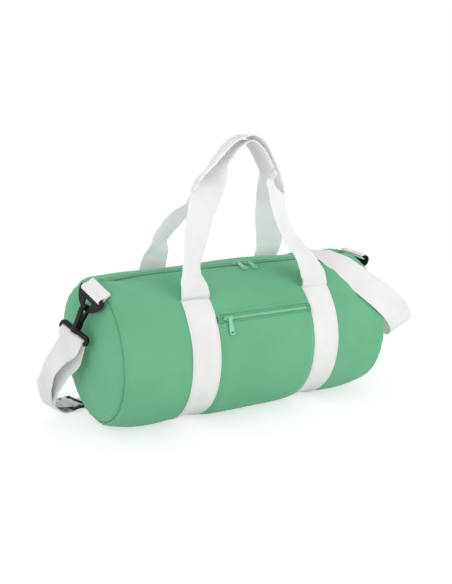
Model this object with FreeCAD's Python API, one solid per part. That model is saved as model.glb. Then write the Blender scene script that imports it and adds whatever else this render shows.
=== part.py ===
import FreeCAD, Part
import math
import os
from FreeCAD import Placement, Rotation, Vector

# Barrel bag with two webbing handles, a zipped mouth, a front pocket and a clip-on shoulder strap.
# Frame: X along the barrel, -Y towards the pocket, +Z up, origin on the floor under the middle.
# Angles round the barrel are counted from straight up and are positive towards the pocket.

# Barrel
barrel_length = 500.0
barrel_radius = 126.0
base_sink = 5.0
fabric = 1.6
end_bulge = 14.0
roll_angle = 7.0
binding_width = 9.0
binding_depth = 4.0

# Clearances
sewn_gap = 0.1
soft_gap = 0.3
pin_gap = 0.06
overrun = 30.0

# Webbing, bands and handles
webbing_width = 50.0
webbing = 2.0
band_offset = 115.0
handle_angle = 38.0
handle_rise = 215.0
handle_layer_gap = 1.8

# Mouth: the strip behind the zip that lifts
mouth_left = 175.0
mouth_right = 100.0
flap_angle = 32.0
slot_half = 6.0

# Main zip
zip_inset = 15.0
zip_end_length = 14.0
tape = 0.9
tape_reach = 18.0
tooth_pitch = 3.0
tooth_height = 2.6
tooth_tip = 0.8
tooth_root = 2.2
tooth_back = 3.3
slider_length = 15.0
slider_half_width = 5.4
slider_plate = 1.4
slider_play = 0.5
slider_neck_half = 0.9
slider_neck_length = 3.0
slider_meet = 18.0
slider_spacing = 21.0
bail_bar_radius = 1.0
knuckle_radius = 2.0
knuckle_length = 5.0
bail_post = 1.6
pull_length = 27.0
pull_width = 10.0
pull_plate = 1.8
pull_slot_length = 6.0
pull_slot_width = 2.6
pull_hang = 11.0

# Front pocket
pocket_angle = 62.3
pocket_half = 81.0
pocket_lift = 2.8
pocket_bulge = 2.0
pocket_slot_half = 4.6
pocket_slider_half_width = 4.2
pocket_slider_plate = 1.0
pocket_slider_play = 0.3
pocket_tape = 0.7
pocket_tape_reach = 9.0
pocket_tooth_height = 2.0
pocket_slider_inset = 11.0
pocket_pull_length = 28.0
pocket_pull_width = 9.0
pocket_pull_top = 6.0
pocket_pull_hang = 7.5
welt_run = 16.0

# Ring, hook and yoke at each end
tab_angle_left = 22.0
tab_angle_right = 8.0
tab_out_left = 17.0
tab_out_right = 12.0
tab_drop_left = 10.0
tab_drop_right = 1.0
tab_skew = 10.0
ring_bar_radius = 2.8
ring_leg = 6.4
ring_shoulder = 5.0
ring_cross = 6.4
ring_eye_height = 11.4
ring_eye_top = 20.0
ring_eye_low = 12.0
ring_eye_corner = 1.5
ring_rim = 5.5
ring_plate = 4.5
ring_round = 1.6
hang_angle = 20.0
eye_radius = 5.0
hook_wall = 4.0
hook_plate = 7.5
hook_nose_drop = 1.0
hook_throat = 2.2
ring_play = 0.6
shank_length = 32.2
pivot_block = 9.0
pivot_block_half = 6.0
collar_radius = 6.6
collar_height = 2.6
gate_plate = 4.0
gate_root_radius = 2.8
gate_pivot_in = 3.6
gate_wall = 4.6
gate_tip_gap = 1.4
trunnion_radius = 1.2
stud_radius = 3.5
stud_head_radius = 5.2
stud_head = 2.2
boss_wall = 2.0
yoke_bar = 6.5
yoke_slot = 3.0
yoke_side = 5.4
yoke_plate = 6.0
yoke_corner = 8.0
yoke_round = 1.2
yoke_rod_radius = 2.7
yoke_turn = 12.0

# Strap adjuster
glide_bar_radius = 2.0
glide_spacing = 14.0
glide_rail = 5.0
glide_rail_height = 4.0
glide_hem = 8.0
strap_floor_gap = 0.3
strap_rest_gap = 3.0

# Values worked out from those above
half_length = barrel_length / 2
zip_reach = half_length - zip_inset
pocket_slider_place = pocket_slider_inset - pocket_half
axis_z = barrel_radius - base_sink
flat_z = webbing + sewn_gap
x_axis = Vector(1, 0, 0)
y_axis = Vector(0, 1, 0)
z_axis = Vector(0, 0, 1)
barrel_axis = Vector(0, 0, axis_z)
handle_seat = barrel_radius + sewn_gap + webbing + soft_gap + webbing / 2

os.makedirs("parts", exist_ok=True)


def save(name, shape):
    """Writes one solid piece under its node name."""
    shape.exportStep("parts/" + name + ".step")


def section(grow):
    """Face of the barrel's cross-section, grown outwards: a circle pressed flat on the floor side."""
    radius = barrel_radius + grow
    low = flat_z - grow
    half = math.sqrt(radius ** 2 - (axis_z - low) ** 2)
    front = Vector(0, -half, low)
    rear = Vector(0, half, low)
    top = Vector(0, 0, axis_z + radius)
    arc = Part.Arc(rear, top, front).toShape()
    floor = Part.LineSegment(front, rear).toShape()
    return Part.Face(Part.Wire([arc, floor]))


def along_x(face, start, stop):
    """Extrudes a face that lies at x = 0 from start to stop."""
    moved = face.copy()
    moved.translate(x_axis * start)
    return moved.extrude(x_axis * (stop - start))


def sleeve(inner, outer, start, stop):
    """Hollow length of the barrel's section between two growths."""
    return along_x(section(outer).cut(section(inner)), start, stop)


def polar(angle, radius, x=0):
    """Point round the barrel axis."""
    turn = math.radians(angle)
    return Vector(x, -radius * math.sin(turn), axis_z + radius * math.cos(turn))


def wedge(first, last, start, stop):
    """Prism that holds everything between two angles round the barrel."""
    reach = barrel_radius + overrun
    corners = [barrel_axis, polar(first, 2 * reach), polar(last, 2 * reach), barrel_axis]
    return along_x(Part.Face(Part.makePolygon(corners)), start, stop)


def turned(shape, angle):
    """Copy of a shape turned round the barrel axis."""
    copy = shape.copy()
    copy.rotate(barrel_axis, x_axis, angle)
    return copy


def block(x0, x1, y0, y1, z0, z1):
    """Box between two corners."""
    return Part.makeBox(x1 - x0, y1 - y0, z1 - z0, Vector(x0, y0, z0))


def prism(points, normal):
    """Extrudes a closed outline along a vector, centred on the outline's plane."""
    face = Part.Face(Part.makePolygon(points + points[:1]))
    face.translate(normal * -0.5)
    return face.extrude(normal)


def ribbon(stations):
    """Flat webbing lofted through stations of centre and edge direction."""
    frames = ribbon_frames(stations)
    return Part.makeLoft(frames, True, True)


def ribbon_frames(stations):
    """Rectangular outlines of webbing at each station, square to the run."""
    outlines = []
    last = len(stations) - 1
    for index, (centre, edge) in enumerate(stations):
        run = stations[min(index + 1, last)][0] - stations[max(index - 1, 0)][0]
        run.normalize()
        across = edge - run * edge.dot(run)
        across.normalize()
        side = across * (webbing_width / 2)
        face = run.cross(across) * (webbing / 2)
        corners = [centre + side + face, centre - side + face, centre - side - face, centre + side - face]
        outlines.append(Part.makePolygon(corners + corners[:1]))
    return outlines


def slopes(points):
    """Direction of travel at each point of a run, weighted for its spacing and level at a low or high point."""
    steps = [after - before for before, after in zip(points[:-1], points[1:])]
    rates = [step * (1 / step.Length) for step in steps]
    result = [rates[0]]
    for index in range(len(steps) - 1):
        near = steps[index].Length
        far = steps[index + 1].Length
        way = (rates[index] * far + rates[index + 1] * near) * (1 / (near + far))
        if rates[index].z * rates[index + 1].z <= 0:
            way.z = 0
        result.append(way)
    return result + [rates[-1]]


def smooth(stations, steps):
    """Smooth run of stations through the given ones, with a number of steps for each span."""
    centres = [station[0] for station in stations]
    ways = slopes(centres)
    result = []
    for index in range(len(stations) - 1):
        reach = (centres[index + 1] - centres[index]).Length
        for step in range(steps):
            share = step / steps
            ease = share ** 2 * (3 - 2 * share)
            centre = centres[index] * (1 - ease) + centres[index + 1] * ease
            centre += ways[index] * (reach * share * (1 - share) ** 2)
            centre -= ways[index + 1] * (reach * share ** 2 * (1 - share))
            edge = stations[index][1] * (1 - ease) + stations[index + 1][1] * ease
            result.append((centre, edge))
    result.append(stations[-1])
    return result


# Barrel, ends and bindings


def mouth_cut(grow):
    """Space behind the zip that the lifting strip takes, with room all round."""
    behind = wedge(-flap_angle, 0, -mouth_left - grow, mouth_right + grow)
    return turned(behind, roll_angle)


def zip_slot():
    """Slot along the top for the zip, over its whole length."""
    top = axis_z + barrel_radius
    slot = block(-zip_reach, zip_reach, -slot_half, slot_half, axis_z, top + overrun)
    return turned(slot, roll_angle)


def barrel_panel():
    """Wrapped sheet with the zip slot and the mouth left open."""
    sheet = sleeve(-fabric, 0, -half_length, half_length)
    return sheet.cut(zip_slot()).cut(mouth_cut(soft_gap))


def rear_top_panel():
    """Strip behind the zip, which lifts about the fold along its rear edge."""
    fold = math.degrees(soft_gap / barrel_radius)
    sheet = sleeve(-fabric, 0, -mouth_left, mouth_right)
    strip = sheet.common(turned(wedge(-flap_angle + fold, 0, -mouth_left, mouth_right), roll_angle))
    return strip.cut(zip_slot())


def end_panel(side):
    """Round end, puffed outwards as a shallow cap."""
    ball = (barrel_radius ** 2 + end_bulge ** 2) / (2 * end_bulge)
    centre = Vector(side * (half_length + end_bulge - ball), 0, axis_z)
    shell = Part.makeSphere(ball, centre).cut(Part.makeSphere(ball - fabric, centre))
    ends = sorted([side * half_length, side * (half_length + end_bulge + overrun)])
    return shell.common(along_x(section(0), ends[0], ends[1]))


def seam_binding(side):
    """Tape round the inside of an end seam."""
    outer = -fabric - sewn_gap
    ends = sorted([side * half_length, side * (half_length - binding_width)])
    return sleeve(outer - binding_depth, outer, ends[0], ends[1])


save("barrel_panel", barrel_panel())
save("rear_top_panel", rear_top_panel())
for name, side in (("left", -1), ("right", 1)):
    save(name + "_end_panel", end_panel(side))
    save(name + "_seam_binding", seam_binding(side))


# Zips: tapes, teeth, sliders and pulls, made about a level zip and then turned into place


class Zip:
    """Levels of one zip, counted outwards from the barrel axis."""

    def __init__(self, tape_top, tape_height, teeth, plate, play, half_width):
        self.tape_top = tape_top
        self.tape_height = tape_height
        self.teeth_top = tape_top + sewn_gap + teeth
        self.plate = plate
        self.play = play
        self.half_width = half_width
        self.plate_low = self.teeth_top + play
        self.plate_top = self.plate_low + plate
        self.under = tape_top - tape_height - play - plate
        self.bar = self.plate_top + knuckle_radius + soft_gap


main_tape_top = math.sqrt((barrel_radius - fabric) ** 2 - tape_reach ** 2) - sewn_gap
main_zip = Zip(main_tape_top, tape, tooth_height, slider_plate, slider_play, slider_half_width)
pocket_tape_top = math.sqrt((barrel_radius + pocket_lift) ** 2 - pocket_tape_reach ** 2) - sewn_gap
pocket_zip = Zip(
    pocket_tape_top, pocket_tape, pocket_tooth_height,
    pocket_slider_plate, pocket_slider_play, pocket_slider_half_width,
)


def zip_tape(zip_kind, side, start, stop, reach, angle):
    """Woven tape on one side of a zip."""
    edges = sorted([side * tooth_root, side * reach])
    top = axis_z + zip_kind.tape_top
    strip = block(start, stop, edges[0], edges[1], top - zip_kind.tape_height, top)
    return turned(strip, angle)


def spread(x):
    """How far each tooth row is pushed aside between the two sliders of the main zip."""
    full = slider_neck_half + soft_gap + tooth_tip
    inner = slider_spacing / 2
    outer = inner + slider_length / 2
    share = (outer - abs(x - slider_meet)) / (outer - inner + slider_length / 2)
    return full * min(max(share * 2, 0), 1)


def no_spread(x):
    """Rows that stay meshed."""
    return 0


def tooth_row(zip_kind, side, start, stop, angle, aside):
    """Comb of teeth on the edge of one tape; the two sides mesh half a pitch apart."""
    phase = 0.25 if side > 0 else 0.75
    half_tooth = tooth_pitch * 0.18
    first = math.ceil((start + half_tooth) / tooth_pitch - phase)
    last = math.floor((stop - half_tooth) / tooth_pitch - phase)
    base = axis_z + zip_kind.tape_top + sewn_gap
    inner = [(start, tooth_root)]
    for count in range(first, last + 1):
        x = (count + phase) * tooth_pitch
        inner += [(x - half_tooth, tooth_root), (x - half_tooth, -tooth_tip)]
        inner += [(x + half_tooth, -tooth_tip), (x + half_tooth, tooth_root)]
    inner += [(stop, tooth_root)]
    bends = [x for x in zip_bends(aside) if start < x < stop]
    outer = [(x, tooth_back) for x in [start] + bends + [stop]]
    points = [Vector(x, side * (y + aside(x)), base) for x, y in inner + outer[::-1]]
    row = Part.Face(Part.makePolygon(points + points[:1]))
    return turned(row.extrude(z_axis * (zip_kind.teeth_top + axis_z - base)), angle)


def zip_bends(aside):
    """Places along the zip where the back of a spread row needs a corner."""
    count = 12
    outer = slider_spacing / 2 + slider_length / 2
    if aside is no_spread:
        return []
    return [slider_meet + outer * (2 * step / count - 1) for step in range(count + 1)]


def slider_body(zip_kind, place, neck_side, angle):
    """Slider: two plates joined by a neck at one end, and a bail on top."""
    half = slider_length / 2
    wide = zip_kind.half_width
    narrow = wide * 0.78
    waist = half * 0.2
    outline = [(-half, narrow), (-waist, narrow), (half * 0.35, wide), (half, wide * 0.7)]
    points = [Vector(x * neck_side, y, 0) for x, y in outline]
    points += [Vector(x * neck_side, -y, 0) for x, y in outline[::-1]]
    plates = []
    for level in (zip_kind.under, zip_kind.plate_low):
        face = Part.Face(Part.makePolygon(points + points[:1]))
        face.translate(z_axis * (axis_z + level))
        plates.append(face.extrude(z_axis * zip_kind.plate))
    neck = sorted([neck_side * half, neck_side * (half - slider_neck_length)])
    low = axis_z + zip_kind.under
    high = axis_z + zip_kind.plate_top
    pillar = block(neck[0], neck[1], -slider_neck_half, slider_neck_half, low, high)
    shape = plates[0].fuse(pillar).fuse(plates[1])
    post = knuckle_length / 2 + soft_gap
    bar_z = axis_z + zip_kind.bar
    for end in (-1, 1):
        stops = sorted([end * post, end * (post + bail_post)])
        top = bar_z + bail_bar_radius
        ear = block(stops[0], stops[1], -bail_bar_radius * 1.2, bail_bar_radius * 1.2, high, top)
        shape = shape.fuse(ear)
    bar_length = 2 * (post + bail_post)
    bar = Part.makeCylinder(bail_bar_radius, bar_length, Vector(-bar_length / 2, 0, bar_z), x_axis)
    shape = shape.fuse(bar).removeSplitter()
    shape.translate(x_axis * place)
    return turned(shape, angle)


def pull_tab(zip_kind, place, angle, hang, outline, hole):
    """Pull that turns on the bail bar: a knuckle, a flat plate and a slot."""
    low = -pull_plate / 2
    plate = Part.Face(outline).cut(Part.Face(hole))
    plate.translate(z_axis * low)
    solid = plate.extrude(z_axis * pull_plate)
    start = Vector(-knuckle_length / 2, 0, 0)
    solid = solid.fuse(Part.makeCylinder(knuckle_radius, knuckle_length, start, x_axis))
    bore = Vector(-pull_width, 0, 0)
    solid = solid.cut(Part.makeCylinder(bail_bar_radius + pin_gap, 2 * pull_width, bore, x_axis))
    solid = solid.removeSplitter()
    solid.rotate(Vector(), x_axis, hang)
    solid.translate(Vector(place, 0, axis_z + zip_kind.bar))
    return turned(solid, angle)


def rounded_slot(length, width, y):
    """Closed wire of a slot across a pull, centred at y."""
    half = length / 2 - width / 2
    radius = width / 2
    top = Part.LineSegment(Vector(-half, y + radius, 0), Vector(half, y + radius, 0)).toShape()
    low = Part.LineSegment(Vector(half, y - radius, 0), Vector(-half, y - radius, 0)).toShape()
    right = Part.Arc(Vector(half, y + radius, 0), Vector(half + radius, y, 0), Vector(half, y - radius, 0))
    left = Part.Arc(Vector(-half, y - radius, 0), Vector(-half - radius, y, 0), Vector(-half, y + radius, 0))
    return Part.Wire([top, right.toShape(), low, left.toShape()])


def pull_outline(length, top_width, end_width):
    """Closed wire of a pull: narrow at the knuckle, widening to a rounded end."""
    neck = knuckle_length / 2
    half = top_width / 2
    wide = end_width / 2
    shoulder = -knuckle_radius * 2.6
    end = -length + wide * 0.5
    corners = [(-neck, 0), (-neck, shoulder * 0.6), (-half, shoulder), (-wide, end)]
    points = [Vector(x, y, 0) for x, y in corners]
    mirror = [Vector(-x, y, 0) for x, y in corners[::-1]]
    tip = Part.Arc(points[-1], Vector(0, -length, 0), mirror[0]).toShape()
    sides = [Part.makePolygon(points), tip, Part.makePolygon(mirror)]
    close = Part.LineSegment(mirror[-1], points[0]).toShape()
    edges = sides[0].Edges + [tip] + sides[2].Edges + [close]
    return Part.Wire(edges)


def zip_end(side):
    """Stitched patch over the end of the main zip."""
    ends = sorted([side * (zip_reach - zip_end_length), side * zip_reach])
    low = axis_z + main_zip.teeth_top + sewn_gap
    patch = block(ends[0], ends[1], -slot_half, slot_half, low, low + fabric / 2)
    return turned(patch, roll_angle)


slider_places = {"left": slider_meet - slider_spacing / 2, "right": slider_meet + slider_spacing / 2}
inner_end = zip_reach - sewn_gap
rear_spans = {
    "": (-mouth_left, mouth_right),
    "_left": (-inner_end, -mouth_left - soft_gap),
    "_right": (mouth_right + soft_gap, inner_end),
}
save("front_zip_tape", zip_tape(main_zip, -1, -inner_end, inner_end, tape_reach, roll_angle))
save("front_zip_teeth", tooth_row(main_zip, -1, -inner_end, inner_end, roll_angle, spread))
for name, span in rear_spans.items():
    save("rear_zip_tape" + name, zip_tape(main_zip, 1, span[0], span[1], tape_reach, roll_angle))
    save("rear_zip_teeth" + name, tooth_row(main_zip, 1, span[0], span[1], roll_angle, spread))
for name, side in (("left", -1), ("right", 1)):
    save(name + "_zip_end", zip_end(side))
    save(name + "_slider_body", slider_body(main_zip, slider_places[name], -side, roll_angle))
    main_outline = pull_outline(pull_length, pull_width * 0.8, pull_width)
    main_hole = rounded_slot(pull_slot_length, pull_slot_width, -pull_length + pull_width / 2)
    pull = pull_tab(main_zip, slider_places[name], roll_angle, pull_hang, main_outline, main_hole)
    save(name + "_slider_pull", pull)


# Front pocket


pocket_side = band_offset - webbing_width / 2 - soft_gap
pocket_inner = barrel_radius + pocket_lift
pocket_drop = math.degrees(pocket_slot_half / pocket_inner)
floor_half = math.sqrt((barrel_radius + flat_z) ** 2 - axis_z ** 2)
base_angle = 180 - math.degrees(math.atan2(floor_half, axis_z))
pocket_angles = (pocket_angle + pocket_drop, (pocket_angle + base_angle) / 2, base_angle)


def pocket_skin(depth):
    """Wire of the pocket's run from its zip to the floor, at a depth inside its outer face."""
    lifts = (pocket_lift + fabric, pocket_lift + fabric + pocket_bulge, flat_z)
    points = [polar(angle, barrel_radius + lift - depth) for angle, lift in zip(pocket_angles, lifts)]
    arc = Part.Arc(points[0], points[1], points[2]).toShape()
    rear = Vector(0, floor_half, points[2].z)
    return arc, Part.LineSegment(points[2], rear).toShape()


def pocket_panel():
    """Outer panel from the pocket zip down and under the base, closed down its two sides."""
    outer = pocket_skin(0)
    inner = pocket_skin(fabric)
    lip = Part.LineSegment(inner[0].Vertexes[0].Point, outer[0].Vertexes[0].Point).toShape()
    hem = Part.LineSegment(outer[1].Vertexes[-1].Point, inner[1].Vertexes[-1].Point).toShape()
    skin = Part.Face(Part.Wire([lip, outer[0], outer[1], hem, inner[1], inner[0]]))
    panel = along_x(skin, -pocket_side, pocket_side)
    chord = Part.LineSegment(inner[0].Vertexes[0].Point, inner[0].Vertexes[-1].Point).toShape()
    bow = Part.Face(Part.Wire([inner[0], chord])).cut(section(sewn_gap))
    for side in (-1, 1):
        ends = sorted([side * pocket_side, side * (pocket_side - fabric)])
        panel = panel.fuse(along_x(bow, ends[0], ends[1]))
    return panel.removeSplitter()


def welt_point(out, lift):
    """Point above the pocket zip, a distance up the barrel from its middle."""
    return polar(pocket_angle - math.degrees(out / barrel_radius), barrel_radius + lift)


def pocket_welt():
    """Folded strip that ramps up from the barrel to the upper edge of the pocket zip."""
    shelf = pocket_tape_reach + soft_gap
    points = [
        welt_point(welt_run, sewn_gap), welt_point(shelf, pocket_lift + fabric),
        welt_point(pocket_slot_half, pocket_lift + fabric), welt_point(pocket_slot_half, pocket_lift),
        welt_point(shelf, pocket_lift), welt_point((shelf + welt_run) / 2, sewn_gap),
    ]
    strip = Part.Face(Part.makePolygon(points + points[:1]))
    return along_x(strip.cut(section(sewn_gap)), -pocket_side, pocket_side)


pocket_open = pocket_slider_place - slider_length / 2 + slider_neck_length + soft_gap
for name, side in (("upper", 1), ("lower", -1)):
    strip = zip_tape(pocket_zip, side, -pocket_half, pocket_half, pocket_tape_reach, pocket_angle)
    save("pocket_" + name + "_tape", strip)
    row = tooth_row(pocket_zip, side, pocket_open, pocket_half, pocket_angle, no_spread)
    save("pocket_" + name + "_teeth", row)
save("pocket_panel", pocket_panel())
save("pocket_welt", pocket_welt())
save("pocket_slider_body", slider_body(pocket_zip, pocket_slider_place, -1, pocket_angle))
pocket_outline = pull_outline(pocket_pull_length, pocket_pull_top, pocket_pull_width)
pocket_hole = rounded_slot(
    pull_slot_length * 0.9, pull_slot_width, -pocket_pull_length + pocket_pull_width / 2
)
save(
    "pocket_slider_pull",
    pull_tab(pocket_zip, pocket_slider_place, pocket_angle, pocket_pull_hang, pocket_outline, pocket_hole),
)


# Webbing bands and handles


def band(side):
    """Webbing sewn round the barrel from one handle's foot, under the base, to the other's."""
    start = side * band_offset - webbing_width / 2
    stop = start + webbing_width
    ring = sleeve(sewn_gap, sewn_gap + webbing, start, stop)
    past_foot = math.degrees(webbing / barrel_radius)
    opening = wedge(handle_angle - past_foot, past_foot - handle_angle, start, stop)
    return ring.cut(turned(opening, roll_angle))


# Each row: share of the bands' offset, share of the foot's depth, share of the rise, twist in degrees
front_left_shares = (
    (1.00, 1.00, 0.00, 0),
    (1.00, 0.97, 0.03, 0),
    (1.00, 0.94, 0.06, 0),
    (1.01, 0.86, 0.14, 4),
    (0.94, 0.70, 0.30, 14),
    (0.83, 0.54, 0.46, 38),
    (0.71, 0.40, 0.60, 70),
)
rear_left_shares = (
    (1.00, 1.00, 0.00, 0),
    (1.00, 0.97, 0.03, 0),
    (1.00, 0.94, 0.06, 0),
    (0.98, 0.88, 0.13, 4),
    (0.94, 0.74, 0.25, 12),
    (0.88, 0.62, 0.34, 24),
    (0.80, 0.48, 0.45, 42),
    (0.71, 0.37, 0.59, 70),
)
arch_shares = (
    (-0.57, 0.27, 0.73, 90),
    (-0.36, 0.12, 0.88, 90),
    (-0.15, 0.03, 0.97, 90),
    (0.04, 0.00, 1.00, 90),
    (0.21, 0.03, 0.97, 90),
    (0.34, 0.12, 0.87, 90),
    (0.44, 0.27, 0.73, 90),
)
front_right_shares = (
    (1.00, 1.00, 0.00, 0),
    (1.00, 0.97, 0.03, 0),
    (1.00, 0.94, 0.06, 0),
    (0.97, 0.90, 0.10, 0),
    (0.80, 0.80, 0.20, 4),
    (0.62, 0.66, 0.34, 10),
    (0.51, 0.50, 0.50, 24),
    (0.46, 0.38, 0.62, 52),
)
rear_right_shares = (
    (1.00, 1.00, 0.00, 0),
    (1.00, 0.97, 0.03, 0),
    (1.00, 0.94, 0.06, 0),
    (0.99, 0.90, 0.10, 2),
    (0.94, 0.80, 0.20, 8),
    (0.86, 0.66, 0.32, 18),
    (0.74, 0.50, 0.46, 36),
    (0.59, 0.37, 0.60, 64),
)


def limb(shares, side):
    """Rows of one limb with the side's sign, from its foot up."""
    return [(side * row[0],) + row[1:] for row in shares]


def handle(front, layer, left_shares, right_shares):
    """Carrying loop: wide face forwards at the feet, turned a quarter to lie flat over the top."""
    foot_y = handle_seat * math.sin(math.radians(handle_angle))
    foot_z = handle_seat * math.cos(math.radians(handle_angle))
    rise = handle_rise + barrel_radius - foot_z
    rows = limb(left_shares, -1) + list(arch_shares) + limb(right_shares, 1)[::-1]
    stations = []
    for spread_share, depth_share, rise_share, twist in rows:
        grow = layer * min(rise_share * 2, 1)
        lean = math.radians(max(-90, min(90 * spread_share * 1.5, 90)))
        x = band_offset * spread_share + grow * math.sin(lean)
        z = foot_z + rise * rise_share + grow * math.cos(lean)
        turn = math.radians(twist)
        side = -1 if spread_share < 0 else 1
        edge = Vector(-side * math.cos(turn), -front * math.sin(turn), 0)
        stations.append((Vector(x, -front * foot_y * depth_share, axis_z + z), edge))
    return turned(ribbon(smooth(stations, 3)), roll_angle)


save("left_band", band(-1))
save("right_band", band(1))
save("front_handle", handle(1, 0, front_left_shares, front_right_shares))
save("rear_handle", handle(-1, webbing + handle_layer_gap, rear_left_shares, rear_right_shares))


# Ring tab, ring, hook, gate and yoke, made about the ring's bar: X along the bar, Y outwards, Z up


tab_angles = {"left": tab_angle_left, "right": tab_angle_right}
tab_outs = {"left": tab_out_left, "right": tab_out_right}
tab_drops = {"left": tab_drop_left, "right": tab_drop_right}
tab_end_share = 1.5


def tab_frame(side, name):
    """Place of an end's ring bar, skewed a little to the end seam."""
    spin = Rotation(z_axis, tab_skew - 90 * side)
    bar = Vector(side * (half_length + tab_outs[name]), 0, barrel_radius - tab_drops[name])
    roll = Placement(barrel_axis, Rotation(x_axis, tab_angles[name]))
    return roll * Placement(bar, spin)


def clip_frame(side, name):
    """Place of an end's ring bar, with the ring and hook hanging a little outwards."""
    return tab_frame(side, name) * Placement(Vector(), Rotation(x_axis, hang_angle))


def placed(shape, place):
    """Copy of a shape moved by a placement."""
    copy = shape.copy()
    copy.Placement = place * copy.Placement
    return copy


def cylinder_x(radius, length, y=0, z=0):
    """Cylinder along X, centred on x = 0."""
    return Part.makeCylinder(radius, length, Vector(-length / 2, y, z), x_axis)


def cylinder_z(radius, low, high):
    """Upright cylinder on the hook's long axis."""
    return Part.makeCylinder(radius, high - low, Vector(0, 0, low))


loop_inner = ring_bar_radius + soft_gap
loop_outer = loop_inner + webbing


def ring_tab(name):
    """Folded webbing tab: a loop round the ring's bar and two layers running up to the end seam."""
    reach = Vector(0, -tab_outs[name], tab_drops[name] + webbing + sewn_gap)
    lean = math.degrees(math.atan2(-reach.y, reach.z))
    half = webbing_width / 2
    skewed = half * math.sin(math.radians(tab_skew)) / math.sin(math.radians(lean))
    length = reach.Length - webbing * tab_end_share - skewed
    layers = block(-half, half, -webbing, webbing, 0, length)
    layers.rotate(Vector(), x_axis, lean)
    loop = cylinder_x(loop_outer, webbing_width).fuse(layers)
    return loop.cut(cylinder_x(loop_inner, 2 * webbing_width)).removeSplitter()


ring_half = webbing_width / 2 + soft_gap * 2
ring_reach = ring_half + ring_leg
ring_slot_low = loop_outer + soft_gap * 2
ring_eye_roof = ring_slot_low + ring_cross
ring_eye_floor = ring_eye_roof + ring_eye_height
ring_depth = ring_eye_floor + ring_rim


def flat_edges(shape):
    """Edges of a plate that lie on its two wide faces, square to Y."""
    return [edge for edge in shape.Edges if edge.BoundBox.YLength < pin_gap]


def upright_edges(shape, low, high):
    """Straight edges along Y of a plate, between two heights."""
    return [
        edge for edge in shape.Edges
        if edge.BoundBox.XLength + edge.BoundBox.ZLength < pin_gap and low < edge.CenterOfMass.z < high
    ]


def ring_outline():
    """Face of the ring's outline: level top with rounded corners, short sides and a bow below."""
    corner = ring_reach - ring_bar_radius
    diagonal = ring_bar_radius * math.sqrt(0.5)
    left, right = Vector(-ring_reach, 0, -ring_shoulder), Vector(ring_reach, 0, -ring_shoulder)
    left_top, right_top = Vector(-ring_reach, 0, 0), Vector(ring_reach, 0, 0)
    left_crown, right_crown = Vector(-corner, 0, ring_bar_radius), Vector(corner, 0, ring_bar_radius)
    edges = [
        Part.Arc(left, Vector(0, 0, -ring_depth), right),
        Part.LineSegment(right, right_top),
        Part.Arc(right_top, Vector(corner + diagonal, 0, diagonal), right_crown),
        Part.LineSegment(right_crown, left_crown),
        Part.Arc(left_crown, Vector(-corner - diagonal, 0, diagonal), left_top),
        Part.LineSegment(left_top, left),
    ]
    return Part.Face(Part.Wire([edge.toShape() for edge in edges]))


def d_ring():
    """Moulded ring: a round bar in the tab's loop, a cross piece, and a hook's eye above a rounded rim."""
    outline = ring_outline()
    outline.translate(y_axis * (-ring_plate / 2))
    plate = outline.extrude(y_axis * ring_plate)
    eye = prism(
        [
            Vector(-ring_eye_top / 2, 0, -ring_eye_roof), Vector(ring_eye_top / 2, 0, -ring_eye_roof),
            Vector(ring_eye_low / 2, 0, -ring_eye_floor), Vector(-ring_eye_low / 2, 0, -ring_eye_floor),
        ],
        y_axis * (2 * ring_plate),
    )
    eye = eye.makeFillet(ring_eye_corner, upright_edges(eye, -ring_depth, 0))
    plate = plate.cut(eye)
    plate = plate.makeFillet(ring_round, flat_edges(plate))
    plate = plate.cut(block(-ring_half, ring_half, -overrun, overrun, -ring_slot_low, overrun))
    return plate.fuse(cylinder_x(ring_bar_radius, 2 * ring_half + ring_leg)).removeSplitter()


eye_z = ring_play - ring_eye_floor - eye_radius
eye_outer = eye_radius + hook_wall
nose_z = eye_z - hook_nose_drop
block_top = eye_z - shank_length + pivot_block
block_low = eye_z - shank_length
gate_pivot = Vector(0, -gate_pivot_in, block_low + pivot_block / 2)
yoke_top = block_low - soft_gap
yoke_slot_top = yoke_top - yoke_bar
stud_recess = stud_head + 2 * soft_gap


def hook_body():
    """Snap hook: open eye, shank on the outer side, cheeks for the gate, a collar and a swivel stud."""
    eye = cylinder_x(eye_outer, hook_plate, 0, eye_z).cut(cylinder_x(eye_radius, 2 * hook_plate, 0, eye_z))
    half = hook_plate / 2
    eye = eye.cut(block(-hook_plate, hook_plate, -eye_outer - overrun, hook_throat, eye_z - overrun, nose_z))
    inner_foot = hook_throat / 2
    middle = eye_radius + hook_wall / 2
    diagonal = middle * math.sqrt(0.5)
    shank = [
        Vector(0, eye_outer, eye_z), Vector(0, middle, eye_z), Vector(0, diagonal, eye_z - diagonal),
        Vector(0, hook_throat, eye_z - middle), Vector(0, inner_foot, block_top),
        Vector(0, pivot_block_half, block_top),
    ]
    shape = eye.fuse(prism(shank, x_axis * hook_plate))
    block_in = gate_pivot_in + gate_root_radius + soft_gap
    shape = shape.fuse(block(-half, half, -block_in, pivot_block_half, block_low, block_top))
    shape = shape.fuse(cylinder_z(collar_radius, block_low, block_low + collar_height))
    slot = gate_plate / 2 + soft_gap
    floor = gate_pivot.z - gate_root_radius - soft_gap
    shape = shape.cut(block(-slot, slot, -overrun, inner_foot, floor, block_top + soft_gap))
    trunnion = trunnion_radius + pin_gap
    shape = shape.cut(cylinder_x(trunnion, 2 * hook_plate, gate_pivot.y, gate_pivot.z))
    head_low = yoke_slot_top + soft_gap
    shape = shape.fuse(cylinder_z(stud_radius, head_low, block_low))
    shape = shape.fuse(cylinder_z(stud_head_radius, head_low, head_low + stud_head))
    return shape.removeSplitter()


lever_root_share = 0.7
lever_drop_share = 0.15


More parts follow.
